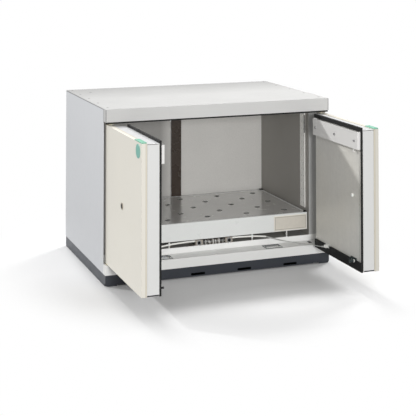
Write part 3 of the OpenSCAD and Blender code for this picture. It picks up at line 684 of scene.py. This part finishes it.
def lathe(name, prof, at, axis, F, body, mat, seg=32, lobes=None):
    """A turned piece. prof is (radius, height) pairs along the axis; lobes makes a radius polygonal, as a hex socket."""
    verts, rings = [], []
    for k, (r, h) in enumerate(prof):
        if r <= 1e-6:
            rings.append([len(verts)])
            verts.append((0.0, 0.0, h))
            continue
        ring = []
        for i in range(seg):
            a = 2 * math.pi * i / seg
            q = r
            if lobes and k in lobes:
                w = 2 * math.pi / lobes[k]
                q = r * math.cos(w / 2) / math.cos((a % w) - w / 2)
            ring.append(len(verts))
            verts.append((q * math.cos(a), q * math.sin(a), h))
        rings.append(ring)
    faces = []
    for a, b in zip(rings, rings[1:]):
        if len(a) == 1 and len(b) == 1:
            continue
        for i in range(seg):
            j = (i + 1) % seg
            if len(a) == 1:
                faces.append((a[0], b[j], b[i]))
            elif len(b) == 1:
                faces.append((a[i], a[j], b[0]))
            else:
                faces.append((a[i], a[j], b[j], b[i]))
    if len(rings[0]) > 1 and len(rings[-1]) > 1:
        a, b = rings[-1], rings[0]
        faces += [(a[i], a[(i + 1) % seg], b[(i + 1) % seg], b[i]) for i in range(seg)]
    elif len(rings[0]) > 1:
        faces.append(tuple(rings[0][::-1]))
    elif len(rings[-1]) > 1:
        faces.append(tuple(rings[-1]))
    ax = Vector(axis).normalized()
    rot = ax.to_track_quat("Z", "Y").to_matrix()
    at = Vector(at)
    out = [tuple(at + rot @ Vector(v)) for v in verts]
    ob = mesh(name, out, faces, F, body, mat, 0.0)
    return ob


def curve_points(pts, n):
    """Points and radii along a Catmull-Rom path."""
    P4 = [np.array(p, float) for p in pts]
    P4 = [2 * P4[0] - P4[1]] + P4 + [2 * P4[-1] - P4[-2]]
    out = []
    for i in range(1, len(P4) - 2):
        a, b, c, d = P4[i - 1:i + 3]
        for k in range(n):
            u = k / n
            out.append(0.5 * (2 * b + (c - a) * u + (2 * a - 5 * b + 4 * c - d) * u * u + (3 * b - a - 3 * c + d) * u ** 3))
    out.append(P4[-2])
    return out


def tube(name, pts, F, body, mat, n=8, seg=14, hollow=0.0, twist=None):
    """A round section along a path of (x, y, z, radius). hollow gives the bore radius at both ends."""
    path = curve_points(pts, n)
    verts, faces = [], []
    up = Vector((0, 0, 1))
    frames = []
    for i, q in enumerate(path):
        a, b = path[max(0, i - 1)], path[min(len(path) - 1, i + 1)]
        d = Vector((b - a)[:3]).normalized()
        s = d.cross(up)
        if s.length < 1e-3:
            s = d.cross(Vector((1, 0, 0)))
        s.normalize()
        frames.append((Vector(q[:3]), s, s.cross(d).normalized(), float(q[3]), d))
    for c, s, u, r, d in frames:
        for k in range(seg):
            a = 2 * math.pi * k / seg
            verts.append(tuple(c + (s * math.cos(a) + u * math.sin(a)) * r))
    m = len(frames)
    for i in range(m - 1):
        for k in range(seg):
            j = (k + 1) % seg
            faces.append((i * seg + k, i * seg + j, (i + 1) * seg + j, (i + 1) * seg + k))
    for end, i in ((0, 0), (1, m - 1)):
        c, s, u, r, d = frames[i]
        sign = 1 if end else -1
        ring = [i * seg + k for k in range(seg)]
        if hollow:
            depth = 6.0
            inner, deep = [], []
            for k in range(seg):
                a = 2 * math.pi * k / seg
                v = (s * math.cos(a) + u * math.sin(a)) * hollow
                inner.append(len(verts))
                verts.append(tuple(c + v))
            for k in range(seg):
                a = 2 * math.pi * k / seg
                v = (s * math.cos(a) + u * math.sin(a)) * hollow
                deep.append(len(verts))
                verts.append(tuple(c + v - d * sign * depth))
            for k in range(seg):
                j = (k + 1) % seg
                faces.append((ring[k], ring[j], inner[j], inner[k]))
                faces.append((inner[k], inner[j], deep[j], deep[k]))
            faces.append(tuple(deep))
        else:
            dome = len(verts)
            verts.append(tuple(c + d * sign * r * 0.35))
            for k in range(seg):
                faces.append((ring[k], ring[(k + 1) % seg], dome))
    return mesh(name, verts, faces, F, body, mat, 0.0)


def coil(name, p, q, radius, wire, turns, F, body, mat):
    """A tension spring between two points, with a short straight lead at each end."""
    p, q = Vector(p), Vector(q)
    d = (q - p).normalized()
    s = d.cross(Vector((0, 0, 1))).normalized()
    u = s.cross(d)
    pts = [(*(p), wire), (*(p + d * 2.0), wire)]
    steps = turns * 10
    length = (q - p).length
    for i in range(steps + 1):
        a = 2 * math.pi * i / 10
        c = p + d * (4.0 + (length - 8.0) * i / steps)
        pts.append((*(c + (s * math.cos(a) + u * math.sin(a)) * radius), wire))
    pts += [(*(q - d * 2.0), wire), (*q, wire)]
    return tube(name, pts, F, body, mat, n=2, seg=8)


PAN = [(0, -0.2), (0.62, -0.2), (0.96, -0.05), (1.0, 0.12), (0.98, 0.3), (0.88, 0.52), (0.66, 0.68), (0.52, 0.72), (0.44, 0.7), (0.42, 0.34), (0, 0.34)]


def screw(name, at, axis, r, F, body, mat="screw", height=1.0):
    """A pan-head screw with a six-sided socket."""
    prof = [(a * r, b * r * height) for a, b in PAN]
    n = len(prof)
    return lathe(name, prof, at, axis, F, body, mat, seg=36, lobes={n - 3: 6, n - 2: 6})



# ---------------------------------------------------------------------------
# fittings that the frame leaves plain
# ---------------------------------------------------------------------------

IN = 58.9                 # inner face of a door
CZ0, CZ1 = 73.8, 543.5    # bottom and top of a door casing

for side, F in DOORS:
    body = f"door_{side}"
    # closing device: screws, slide block in the open top, end lips
    for i, x in enumerate((324.3, 175.3, 31.3)):
        screw(f"closer_screw_{side}_{i + 1}", (x, IN + 18.9, 506), (0, 1, 0), 4.6, F, body, "screw", 0.8)
    rib = [(12, 508), (341, 508), (341, 533)]
    for k in range(20, -1, -1):
        x = 14 + k * 16.2
        rib += [(x + 6.5, 533), (x + 5.5, 529.5), (x + 1.0, 529.5), (x, 533)]
    rib += [(12, 533)]
    extrude(f"closer_slide_{side}", rib, "y", IN + 3, IN + 14.5, F, body, "black", 0.5)
    # plates on the free end of the casing: painted plate, rubber foot, top cap
    extrude(f"end_plate_{side}", [(19.0, 78.6), (57.0, 78.6), (57.0, 540.6), (19.0, 540.6)], "x", 2.8, 3.45, F, body, "endplate", 0.25)
    extrude(f"end_foot_{side}", folded([(18.9, 75.6), (57.4, 75.6)], 3.6), "x", 2.6, 3.45, F, body, "rubber", 0.3)
    extrude(f"end_cap_{side}", [(18.9, 542.0), (57.3, 542.0), (57.3, 543.3), (18.9, 543.3)], "x", 2.9, 3.45, F, body, "closer", 0.2)
    extrude(f"end_joint_{side}", folded([(18.9, 541.3), (57.4, 541.3)], 1.1), "x", 2.7, 3.45, F, body, "rubber", 0.1)
    # raised edge strip on the inner sheet, with a beaded inner edge
    strip = [(9.0, IN + 0.02), (9.4, IN + 1.0), (22.0, IN + 1.0), (23.2, IN + 1.9), (25.0, IN + 1.9), (26.2, IN + 0.9), (26.6, IN + 0.02)]
    extrude(f"inner_edge_strip_{side}", strip, "z", 101.2, 477.6, F, body, "zinc", 0.25)
    # dark line beside the bead: a painted shadow
    extrude(f"inner_edge_shadow_{side}", [(26.65, IN + 0.02), (29.2, IN + 0.02), (29.2, IN + 0.2), (26.65, IN + 0.2)], "z", 101.4, 420.0, F, body, "seam", 0.0)
    for i, z in enumerate((130, 290.5, 450)):
        lathe(f"strip_rivet_{side}_{i + 1}", [(2.6, 0.0), (2.6, 0.3), (2.1, 0.8), (1.2, 1.05), (0.0, 1.1)], (29.4 if i == 1 else 16.0, IN + (0.0 if i == 1 else 1.0), z), (0, 1, 0), F, body, "dull", seg=20)
    # sealing lip along the outer edge of the gasket
    g = IN + 6.2
    lip = [(354.0, g, 73.2, 1.3), (9.0, g, 73.2, 1.3)]
    lip += [(9.0 - 3.8 * math.sin(a), g, 77.0 - 3.8 * math.cos(a), 1.3) for a in (0.3, 0.7, 1.1, 1.4)]
    lip += [(5.2, g, 77.4, 1.3), (5.2, g, 545.6, 1.3)]
    lip += [(9.0 - 3.8 * math.cos(a), g, 546.0 + 3.8 * math.sin(a), 1.3) for a in (0.2, 0.5, 0.9, 1.3)]
    lip += [(9.4, g, 549.8, 1.3), (354.0, g, 549.8, 1.3)]
    tube(f"seal_lip_{side}", lip, F, body, "rubber", n=1, seg=10)
    # screws and collar of the catch and the cable anchor
    screw(f"catch_screw_{side}", (82.0, IN + 3.0, 98.0), (0, 1, 0), 2.6, F, body, "screw")
    lathe(f"catch_nut_{side}", [(5.4, 0.0), (5.4, 3.0), (4.6, 3.5), (3.45, 3.5), (3.45, 0.0)], (58.0, IN + 5.4, 98.0), (0, 1, 0), F, body, "bright", seg=36, lobes={0: 6, 1: 6})
    for i, x in enumerate((249.3, 276.3)):
        screw(f"anchor_screw_{side}_{i + 1}", (x, IN + 2.0, 99.2), (0, 1, 0), 3.2, F, body, "screw")
    lathe(f"anchor_eye_{side}", [(0.0, -3.2), (2.2, -3.0), (4.2, -1.8), (5.2, 0.0), (4.2, 1.8), (2.2, 3.0), (0.0, 3.2)],
          (264.3, IN + 13.2, 96.2), (0, 1, 0), F, body, "bright", seg=32)
    # pivot sleeves, top and bottom
    for tag, z in (("top", 545.6), ("bottom", 71.9)):
        lathe(f"pivot_washer_{side}_{tag}", [(4.15, 0.0), (7.2, 0.0), (7.4, 0.3), (7.4, 0.9), (7.2, 1.2), (4.15, 1.2)], (HX, HY, z), (0, 0, 1), F, "cabinet", "white", seg=32)

# lock: dark plug with a key slot in the head of the cylinder
slot_w, slot_h = 1.1, 3.6
plug = [(math.cos(2 * math.pi * k / 32) * 7.4, math.sin(2 * math.pi * k / 32) * 7.4) for k in range(32)]
for tag, half in (("upper", 1), ("lower", -1)):
    pts = [(215.3 + x, 309.0 + z) for x, z in plug if z * half > 0.2]
    pts = pts if half > 0 else pts
    pts += [(215.3 - half * 7.2, 309.0 + half * 0.25), (215.3 - half * slot_w, 309.0 + half * 0.25), (215.3 - half * slot_w, 309.0 + half * slot_h),
            (215.3 + half * slot_w, 309.0 + half * slot_h), (215.3 + half * slot_w, 309.0 + half * 0.25), (215.3 + half * 7.2, 309.0 + half * 0.25)]
    extrude(f"lock_plug_{tag}", pts, "y", -2.1, -1.62, DL, "lock_cylinder", "black", 0.1)
# disc: raised rim
lathe("disc_rim", [(20.6, -1.1), (21.9, -1.1), (22.4, -0.7), (22.4, -0.1), (20.6, -0.1)], (39.3, 0.0, 517.0), (0, 1, 0), DL, "door_left", "disc", seg=64)

for side, F in SIDES:
    # hinge brackets: head of the pivot pin and two screws
    lathe(f"pivot_head_{side}", [(0.0, 3.4), (2.4, 3.2), (5.0, 2.0), (6.2, 0.4), (6.2, -0.1), (4.1, -0.1)][::-1], (HX, HY, 552.0), (0, 0, 1), F, "cabinet", "screw", seg=32)
    for i, y in enumerate((33.0, 52.0)):
        screw(f"hinge_screw_{side}_{i + 1}", (HX, y, 549.0), (0, 0, -1), 3.4, F, "cabinet", "screw")
    screw(f"hinge_screw_{side}_3", (HX - 8, 33.0, 70.9), (0, 0, 1), 3.0, F, "cabinet", "screw")
    screw(f"hinge_screw_{side}_4", (HX + 8, 33.0, 70.9), (0, 0, 1), 3.0, F, "cabinet", "screw")
    # strike pocket: frame lip, roller and its two bearings
    extrude(f"pocket_lip_{side}", folded([(179.4, 11.2), (179.4, 50.4), (240.6, 50.4), (240.6, 11.2)], 3.0), "z", 70.0, 71.6, F, "cabinet", "gunmetal", 0.3)
    extrude(f"pocket_edge_{side}", [(8.2, 70.0), (11.0, 70.0), (11.0, 71.3), (8.8, 71.3)], "x", 178.0, 242.0, F, "cabinet", "gunmetal", 0.2)
    lathe(f"pocket_roller_{side}", [(0.0, 0.0), (2.2, 0.0), (2.2, 5.0), (4.2, 5.6), (4.2, 43.4), (2.2, 44.0), (2.2, 49.0), (0.0, 49.0)], (185.5, 41.0, 65.5), (1, 0, 0), F, "cabinet", "chrome", seg=28)
    for i, x in enumerate((184.0, 233.0)):
        extrude(f"pocket_bearing_{side}_{i + 1}", [(36.0, 57.3), (46.0, 57.3), (46.0, 66.6), (43.6, 69.4), (38.4, 69.4), (36.0, 66.6)], "x", x, x + 3.0, F, "cabinet", "steel", 0.3)
    extrude(f"pocket_front_bar_{side}", [(11.4, 70.0), (17.0, 70.0), (17.0, 71.6), (16.2, 72.1), (12.2, 72.1), (11.4, 71.6)], "x", 180.0, 240.0, F, "cabinet", "white", 0.3)
    extrude(f"pocket_tongue_{side}", folded([(18.0, 69.8), (22.0, 69.0), (24.5, 64.0), (24.5, 59.0)], 1.2), "x", 190.0, 229.0, F, "cabinet", "bright", 0.2)
    # guide tube with a slight bow, and its stand-off clip
    tube(f"guide_tube_{side}", [(70.0, 77.0, 103.6, 3.0), (84.0, 74.6, 104.3, 3.0), (100.0, 72.6, 104.4, 3.0), (147.0, 71.0, 103.0, 3.0), (172.0, 71.0, 101.0, 3.0), (190.0, 71.4, 98.8, 3.0), (203.0, 72.0, 96.8, 3.0)],
         F, "cabinet", "cable", n=6, seg=18, hollow=2.0)
    cx = 171.0 if side == "left" else 148.0
    cz = 101.1 if side == "left" else 102.9
    lathe(f"tube_standoff_{side}", [(0.0, 0.0), (4.3, 0.0), (4.3, 1.2), (2.6, 1.9), (1.9, 3.0), (1.9, 13.0), (2.8, 14.0), (2.8, 15.2), (1.9, 15.8), (0.0, 15.8)], (cx, 71.0, 84.1), (0, 0, 1), F, "cabinet", "white", seg=24)
    lathe(f"tube_collar_{side}", [(3.1, -3.2), (4.3, -3.2), (4.7, -2.7), (4.7, 2.7), (4.3, 3.2), (3.1, 3.2)], (cx, 71.0, cz), (1, 0, -0.06), F, "cabinet", "white", seg=28)
    lathe(f"tube_knob_{side}", [(1.6, 0.0), (2.1, 0.8), (2.6, 2.0), (2.1, 3.3), (0.9, 3.9), (0.0, 4.0)], (cx, 70.8, cz + 4.3), (0, 0, 1), F, "cabinet", "white", seg=24)
    # closing mechanism: bushes in the catch blocks, springs, cable drums, links
    lathe(f"catch_bush_{side}", [(7.05, 13.0), (6.2, 13.0), (6.2, -0.6), (8.6, -0.6), (8.9, -0.2), (8.9, 0.0), (7.05, 0.0)], (58.0, 70.4, 98.0), (0, 1, 0), F, "cabinet", "chrome", seg=40)
    for i, x in enumerate((46.5, 69.0)):
        screw(f"catch_block_screw_{side}_{i + 1}", (x, 70.5, 88.6), (0, -1, 0), 2.2, F, "cabinet", "screw")
    coil(f"pull_spring_{side}", (16.0, 75.6, 99.0), (44.0, 75.6, 99.0), 2.9, 0.55, 9, F, "cabinet", "chrome")
    body = f"lever_{side}"
    lathe(f"lever_roller_{side}", [(2.1, 0.0), (4.6, 0.0), (4.9, 0.4), (3.9, 1.4), (3.9, 3.2), (4.9, 4.2), (4.6, 4.6), (2.1, 4.6)], (44.0, 90.0, 95.1), (0, 0, 1), F, body, "steel", seg=28)
    lathe(f"lever_washer_{side}", [(3.1, 0.0), (6.4, 0.0), (6.4, 1.0), (3.1, 1.0)], (18.0, 90.0, 98.1), (0, 0, 1), F, body, "dull", seg=28)
    # under the tray: foot and cup on each support
    for i, y in enumerate((86.0, 470.0)):
        lathe(f"support_foot_{side}_{i + 1}", [(0.0, 0.0), (7.0, 0.0), (7.0, 1.4), (3.6, 2.6), (3.1, 4.2)], (293.0, y, 84.1), (0, 0, 1), F, "cabinet", "chrome", seg=28)

# bridge plate between the two catch blocks, with two upright ears
extrude("mechanism_bridge", folded([(70.4, 85.0), (70.4, 88.0), (83.4, 88.0), (83.4, 85.0)], 1.4), "x", -42.5, 42.5, P, "cabinet", "dull", 0.25)
for i, (x, w, top) in enumerate(((-33.0, 3.0, 105.5), (-17.0, 2.4, 101.0), (-5.0, 4.0, 106.5), (5.0, 3.0, 104.0), (17.0, 5.0, 106.0), (33.0, 2.4, 101.0))):
    ear = [(71.2, 88.6), (82.5, 88.6), (82.5, top - 5), (79.5, top), (74.6, top), (71.2, top - 4.4)]
    extrude(f"mechanism_ear_{i + 1}", ear, "x", x, x + w, P, "cabinet", "steel", 0.3)
lathe("mechanism_shaft", [(0.0, 0.0), (1.9, 0.0), (1.9, 60.0), (0.0, 60.0)], (-32.0, 77.2, 97.4), (1, 0, 0), P, "cabinet", "chrome", seg=20)
for i, x in enumerate((-22.0, 14.0)):
    lathe(f"mechanism_wheel_{i + 1}", [(2.0, 0.0), (5.6, 0.0), (5.9, 0.5), (4.9, 1.8), (4.9, 4.2), (5.9, 5.5), (5.6, 6.0), (2.0, 6.0)], (x, 77.2, 97.4), (1, 0, 0), P, "cabinet", "steel", seg=32)

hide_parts("guide_tubes")

# black sheet behind the plinth slots: painted shade seen through them
for side, F in SIDES:
    for i, x in enumerate((88.0, 267.0)):
        extrude(f"plinth_slot_shade_{side}_{i + 1}", folded([(2.7, 15.6), (5.0, 15.2), (7.5, 11.0), (5.0, 5.6), (2.7, 5.2)], 1.0), "x", x - 29, x + 29, F, "cabinet", "shade_void", 0.0)

# black ring round each plinth slot, darkening the slot edge: painted shade
for side, F in SIDES:
    for i, x in enumerate((88.0, 267.0)):
        verts, faces = [], []
        for r, y in ((4.1, -0.25), (2.3, -0.25), (2.3, 1.9), (4.1, 0.2)):
            for k in range(40):
                a = 2 * math.pi * k / 40
                cx = 22.5 if math.cos(a) >= 0 else -22.5
                verts.append((x + cx + r * math.cos(a), y, 11.0 + r * math.sin(a)))
        for q in range(4):
            for k in range(40):
                faces.append((q * 40 + k, q * 40 + (k + 1) % 40, ((q + 1) % 4) * 40 + (k + 1) % 40, ((q + 1) % 4) * 40 + k))
        mesh(f"slot_shade_ring_{side}_{i + 1}", verts, faces, F, "cabinet", "shade_void")

# rims of the insert holes, one sheet of rings, in matt black: painted shade in the holes
verts, faces = [], []
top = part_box("perforated_insert")[1].z * 1000
for k in range(5):
    n, off = (2, 0.0) if k % 2 == 0 else (1, 77.0)
    for i in range(-n - k % 2, n + 1):
        cx, cy = i * 154.0 + off, 139.0 + k * 76.0
        base = len(verts)
        for r, z in ((8.55, -1.4), (8.55, 0.3), (8.8, 0.5), (9.7, 0.5), (10.1, 0.3), (10.2, 0.02)):
            for q in range(40):
                a = 2 * math.pi * q / 40
                verts.append((cx + r * math.cos(a), cy + r * math.sin(a), top + z))
        for u in range(6):
            v = (u + 1) % 6
            for q in range(40):
                w = (q + 1) % 40
                faces.append((base + u * 40 + q, base + u * 40 + w, base + v * 40 + w, base + v * 40 + q))
mesh("insert_rims", verts, faces, P, "perforated_insert", "shade_void")

# pull cables, free between the guide tube and the door
for side, F, D in (("left", MIR, DL), ("right", P, DR)):
    tip = D(264.3, IN + 15.6, 95.4) * 1000
    tip = (abs(tip.x), tip.y + DEPTH / 2, tip.z)
    pts = [(196.0, 71.7, 97.8, 1.9), (203.0, 72.0, 96.8, 1.9), (207.0, 67.0, 96.4, 2.0), (212.0, 61.0, 95.8, 2.0), (222.0, 47.0, 94.4, 2.0), (236.0, 28.5, 92.6, 1.8), (252.0, 7.0, 91.5, 1.6),
           (273.0, -21.0, 91.3, 1.4), (300.0, -57.5, 92.0, 1.4), (322.0, -87.0, 92.6, 1.4), (tip[0] - 9.0, tip[1] + 11.0, 94.4, 1.5), (tip[0] - 4.0, tip[1] + 5.0, 95.0, 2.6), (*tip, 2.4)]
    ob = tube(f"pull_cable_{side}", pts, F, None, "wire", n=5, seg=12)
    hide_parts(f"cable_{side}")
    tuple(F(203.0, 72.0, 96.8))
    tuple(F(*tip))
    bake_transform(ob)

# joints between the fascia and its end caps
for side, F in SIDES:
    extrude(f"fascia_joint_{side}", [(-423.9, -0.12), (-422.3, -0.12), (-422.3, 0.4), (-423.9, 0.4)], "z", 556.4, 597.8, lambda x, y, z, F=F: F(-x, y, z), "cabinet", "seam", 0.0)
    extrude(f"sill_stop_{side}", [(27.0, 70.0), (45.0, 70.0), (45.0, 71.6), (27.0, 72.2)], "x", 358.0, 369.0, F, "cabinet", "black", 0.3)

# rubber strip under the fascia
extrude("lintel_strip", [(1.7, 555.3), (4.6, 555.3), (4.6, 551.0), (3.9, 549.9), (2.2, 549.9), (1.7, 551.0)], "x", -423.0, 423.0, P, "cabinet", "rubber", 0.2)

# key slot in the front of each shelf rail, a black strip standing for the shade in the slot
for side, F in SIDES:
    extrude(f"rail_slot_{side}", [(371.6, 461.0), (374.2, 461.0), (374.2, 527.0), (371.6, 527.0)], "y", 97.2, 98.0, F, "cabinet", "shade_void", 0.1)
    lathe(f"hinge_bush_{side}", [(4.1, 0.0), (9.0, 0.0), (9.3, 0.2), (9.3, 0.45), (8.6, 0.6), (4.1, 0.6)], (HX, HY, 71.65), (0, 0, 1), F, "cabinet", "black", seg=32)

# label plate rivets
lo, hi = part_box("label_plate")
for i, (x, z) in enumerate(((lo.x + 0.003, lo.z + 0.003), (hi.x - 0.003, lo.z + 0.003), (lo.x + 0.003, hi.z - 0.003), (hi.x - 0.003, hi.z - 0.003))):
    lathe(f"label_rivet_{i + 1}", [(1.3, 0.0), (1.3, 0.25), (0.9, 0.6), (0.0, 0.8)], (x * 1000, lo.y * 1000 + DEPTH / 2, z * 1000), (0, -1, 0), P, "sump_tray", "steel", seg=18)

# two small blind plugs on the sill edge
for i, x in enumerate((-20.0, 116.0)):
    lathe(f"sill_plug_{i + 1}", [(4.0, 0.0), (4.0, 0.3), (3.2, 0.9), (1.4, 1.3), (0.0, 1.3)], (x, 5.5, 70.0), (0, 0, 1), P, "cabinet", "white", seg=28)

# ---------------------------------------------------------------------------
# stage, light and camera
# ---------------------------------------------------------------------------

def floor_material():
    """Pale studio floor that fades into a white backdrop."""
    m = Mat("studio_floor")
    x, y, z = m.sep()

    def spot(cx, cy, rx, ry, near, far, inner, outer):
        ux = m.math("DIVIDE", m.math("SUBTRACT", x, cx), rx)
        uy = m.math("DIVIDE", m.math("SUBTRACT", y, cy), ry)
        return m.remap(m.math("SQRT", m.math("ADD", m.math("MULTIPLY", ux, ux), m.math("MULTIPLY", uy, uy))), near, far, inner, outer)

    # painted shadow beside the plinth, a little greyer, and painted light in front, a little lighter
    t = m.math("MULTIPLY", spot(-0.52, -0.44, 0.30, 0.34, 0.1, 1.1, 0.84, 1.0), spot(0.10, -0.68, 0.35, 0.16, 0.3, 1.4, 1.30, 1.0))
    t = m.math("MULTIPLY", t, m.remap(m.noise(0.8, 3, 0.5), 0.3, 0.7, 0.74, 0.76))
    base = m.mix(t, (0.0, 0.0, 0.0), (0.98, 0.98, 0.982))
    ray = m.n("ShaderNodeLightPath")
    base = m.mix(ray.outputs["Is Camera Ray"], (0.50, 0.50, 0.50), base)
    m.set(Base_Color=base, Roughness=0.6, Specular_IOR_Level=0.12)
    m.bump(m.noise(60, 3, 0.5), 0.0001, 0.2)
    ex = m.math("DIVIDE", x, 0.80)
    ey = m.math("DIVIDE", m.math("ADD", y, 0.10), 0.96)
    d = m.math("SQRT", m.math("ADD", m.math("MULTIPLY", ex, ex), m.math("MULTIPLY", ey, ey)))
    fade = m.n("ShaderNodeMapRange")
    fade.interpolation_type = "SMOOTHSTEP"
    m.put(d, fade.inputs["Value"])
    fade.inputs["From Min"].default_value = 0.66
    fade.inputs["From Max"].default_value = 1.02
    glow = m.n("ShaderNodeEmission")
    glow.inputs["Color"].default_value = (1, 1, 1, 1)
    m.put(m.remap(ray.outputs["Is Camera Ray"], 0.0, 1.0, 0.55, 1.0), glow.inputs["Strength"])
    blend = m.n("ShaderNodeMixShader")
    m.link(fade.outputs[0], blend.inputs[0])
    m.link(m.b.outputs[0], blend.inputs[1])
    m.link(glow.outputs[0], blend.inputs[2])
    m.link(blend.outputs[0], m.out.inputs[0])
    return m.m


floor = add("studio_floor", [(-9, -9, -0.0002), (9, -9, -0.0002), (9, 9, -0.0002), (-9, 9, -0.0002)], [(0, 1, 2, 3)])
floor.data.materials.append(floor_material())

world = bpy.data.worlds.new("studio")
bpy.context.scene.world = world
world.use_nodes = True
wt = world.node_tree
wt.nodes.clear()
wo = wt.nodes.new("ShaderNodeOutputWorld")
wb, wc = wt.nodes.new("ShaderNodeBackground"), wt.nodes.new("ShaderNodeBackground")
wl, wm = wt.nodes.new("ShaderNodeLightPath"), wt.nodes.new("ShaderNodeMixShader")
wb.inputs[0].default_value = (1, 1, 1, 1)
wb.inputs[1].default_value = 0.53
wc.inputs[0].default_value = (1, 1, 1, 1)
wc.inputs[1].default_value = 1.0
wt.links.new(wl.outputs["Is Camera Ray"], wm.inputs[0])
wt.links.new(wb.outputs[0], wm.inputs[1])
wt.links.new(wc.outputs[0], wm.inputs[2])
wt.links.new(wm.outputs[0], wo.inputs[0])


def aim(o, direction):
    o.rotation_mode = "QUATERNION"
    o.rotation_quaternion = Vector(direction).to_track_quat("-Z", "Y")
    bpy.context.scene.collection.objects.link(o)
    return o


def area(name, loc, target, size, power):
    l = bpy.data.lights.new(name, "AREA")
    l.energy = power
    l.size = size
    o = bpy.data.objects.new(name, l)
    o.location = loc
    return aim(o, Vector(target) - Vector(loc))


def sun(name, direction, strength, angle):
    l = bpy.data.lights.new(name, "SUN")
    l.energy = strength
    l.angle = math.radians(angle)
    return aim(bpy.data.objects.new(name, l), direction)


sun("overhead_soft", (0.0, -0.485, -0.875), 1.26, 9)
sun("key_back_left", (0.643, -0.643, -0.419), 1.73, 3)
sun("rim_back_right", (-0.70, -0.50, -0.52), 1.95, 20)
area("front_soft", (-0.75, -4.4, 1.1), (0, 0, 0.3), 0.7, 83)

cam_data = bpy.data.cameras.new("photo_camera")
cam = bpy.data.objects.new("photo_camera", cam_data)
bpy.context.scene.collection.objects.link(cam)
bpy.context.scene.camera = cam
CAM_X, CAM_Y, CAM_Z = -1.4530, -3.9943, 1.1438
yaw, pitch = math.radians(20.72), math.radians(-2.14)
look = Vector((math.sin(yaw) * math.cos(pitch), math.cos(yaw) * math.cos(pitch), -math.sin(pitch)))
cam.location = (CAM_X, CAM_Y, CAM_Z)
cam.rotation_mode = "QUATERNION"
cam.rotation_quaternion = look.to_track_quat("-Z", "Y")
cam_data.lens = 96.29
cam_data.sensor_width = 36.0
cam_data.clip_start, cam_data.clip_end = 0.05, 60
# The photo's view camera is shifted down; the shift belongs to this camera station only
drv = cam_data.driver_add("shift_y").driver
drv.type = "SCRIPTED"
var = drv.variables.new()
var.name = "x"
var.type = "TRANSFORMS"
var.targets[0].id = cam
var.targets[0].transform_type = "LOC_X"
var.targets[0].transform_space = "WORLD_SPACE"
drv.expression = "-0.7185 if x < -1.452 and x > -1.454 else 0"

sc = bpy.context.scene
sc.view_settings.view_transform = "Standard"
sc.view_settings.look = "None"
sc.view_settings.exposure = 0.0
sc.view_settings.gamma = 1.0
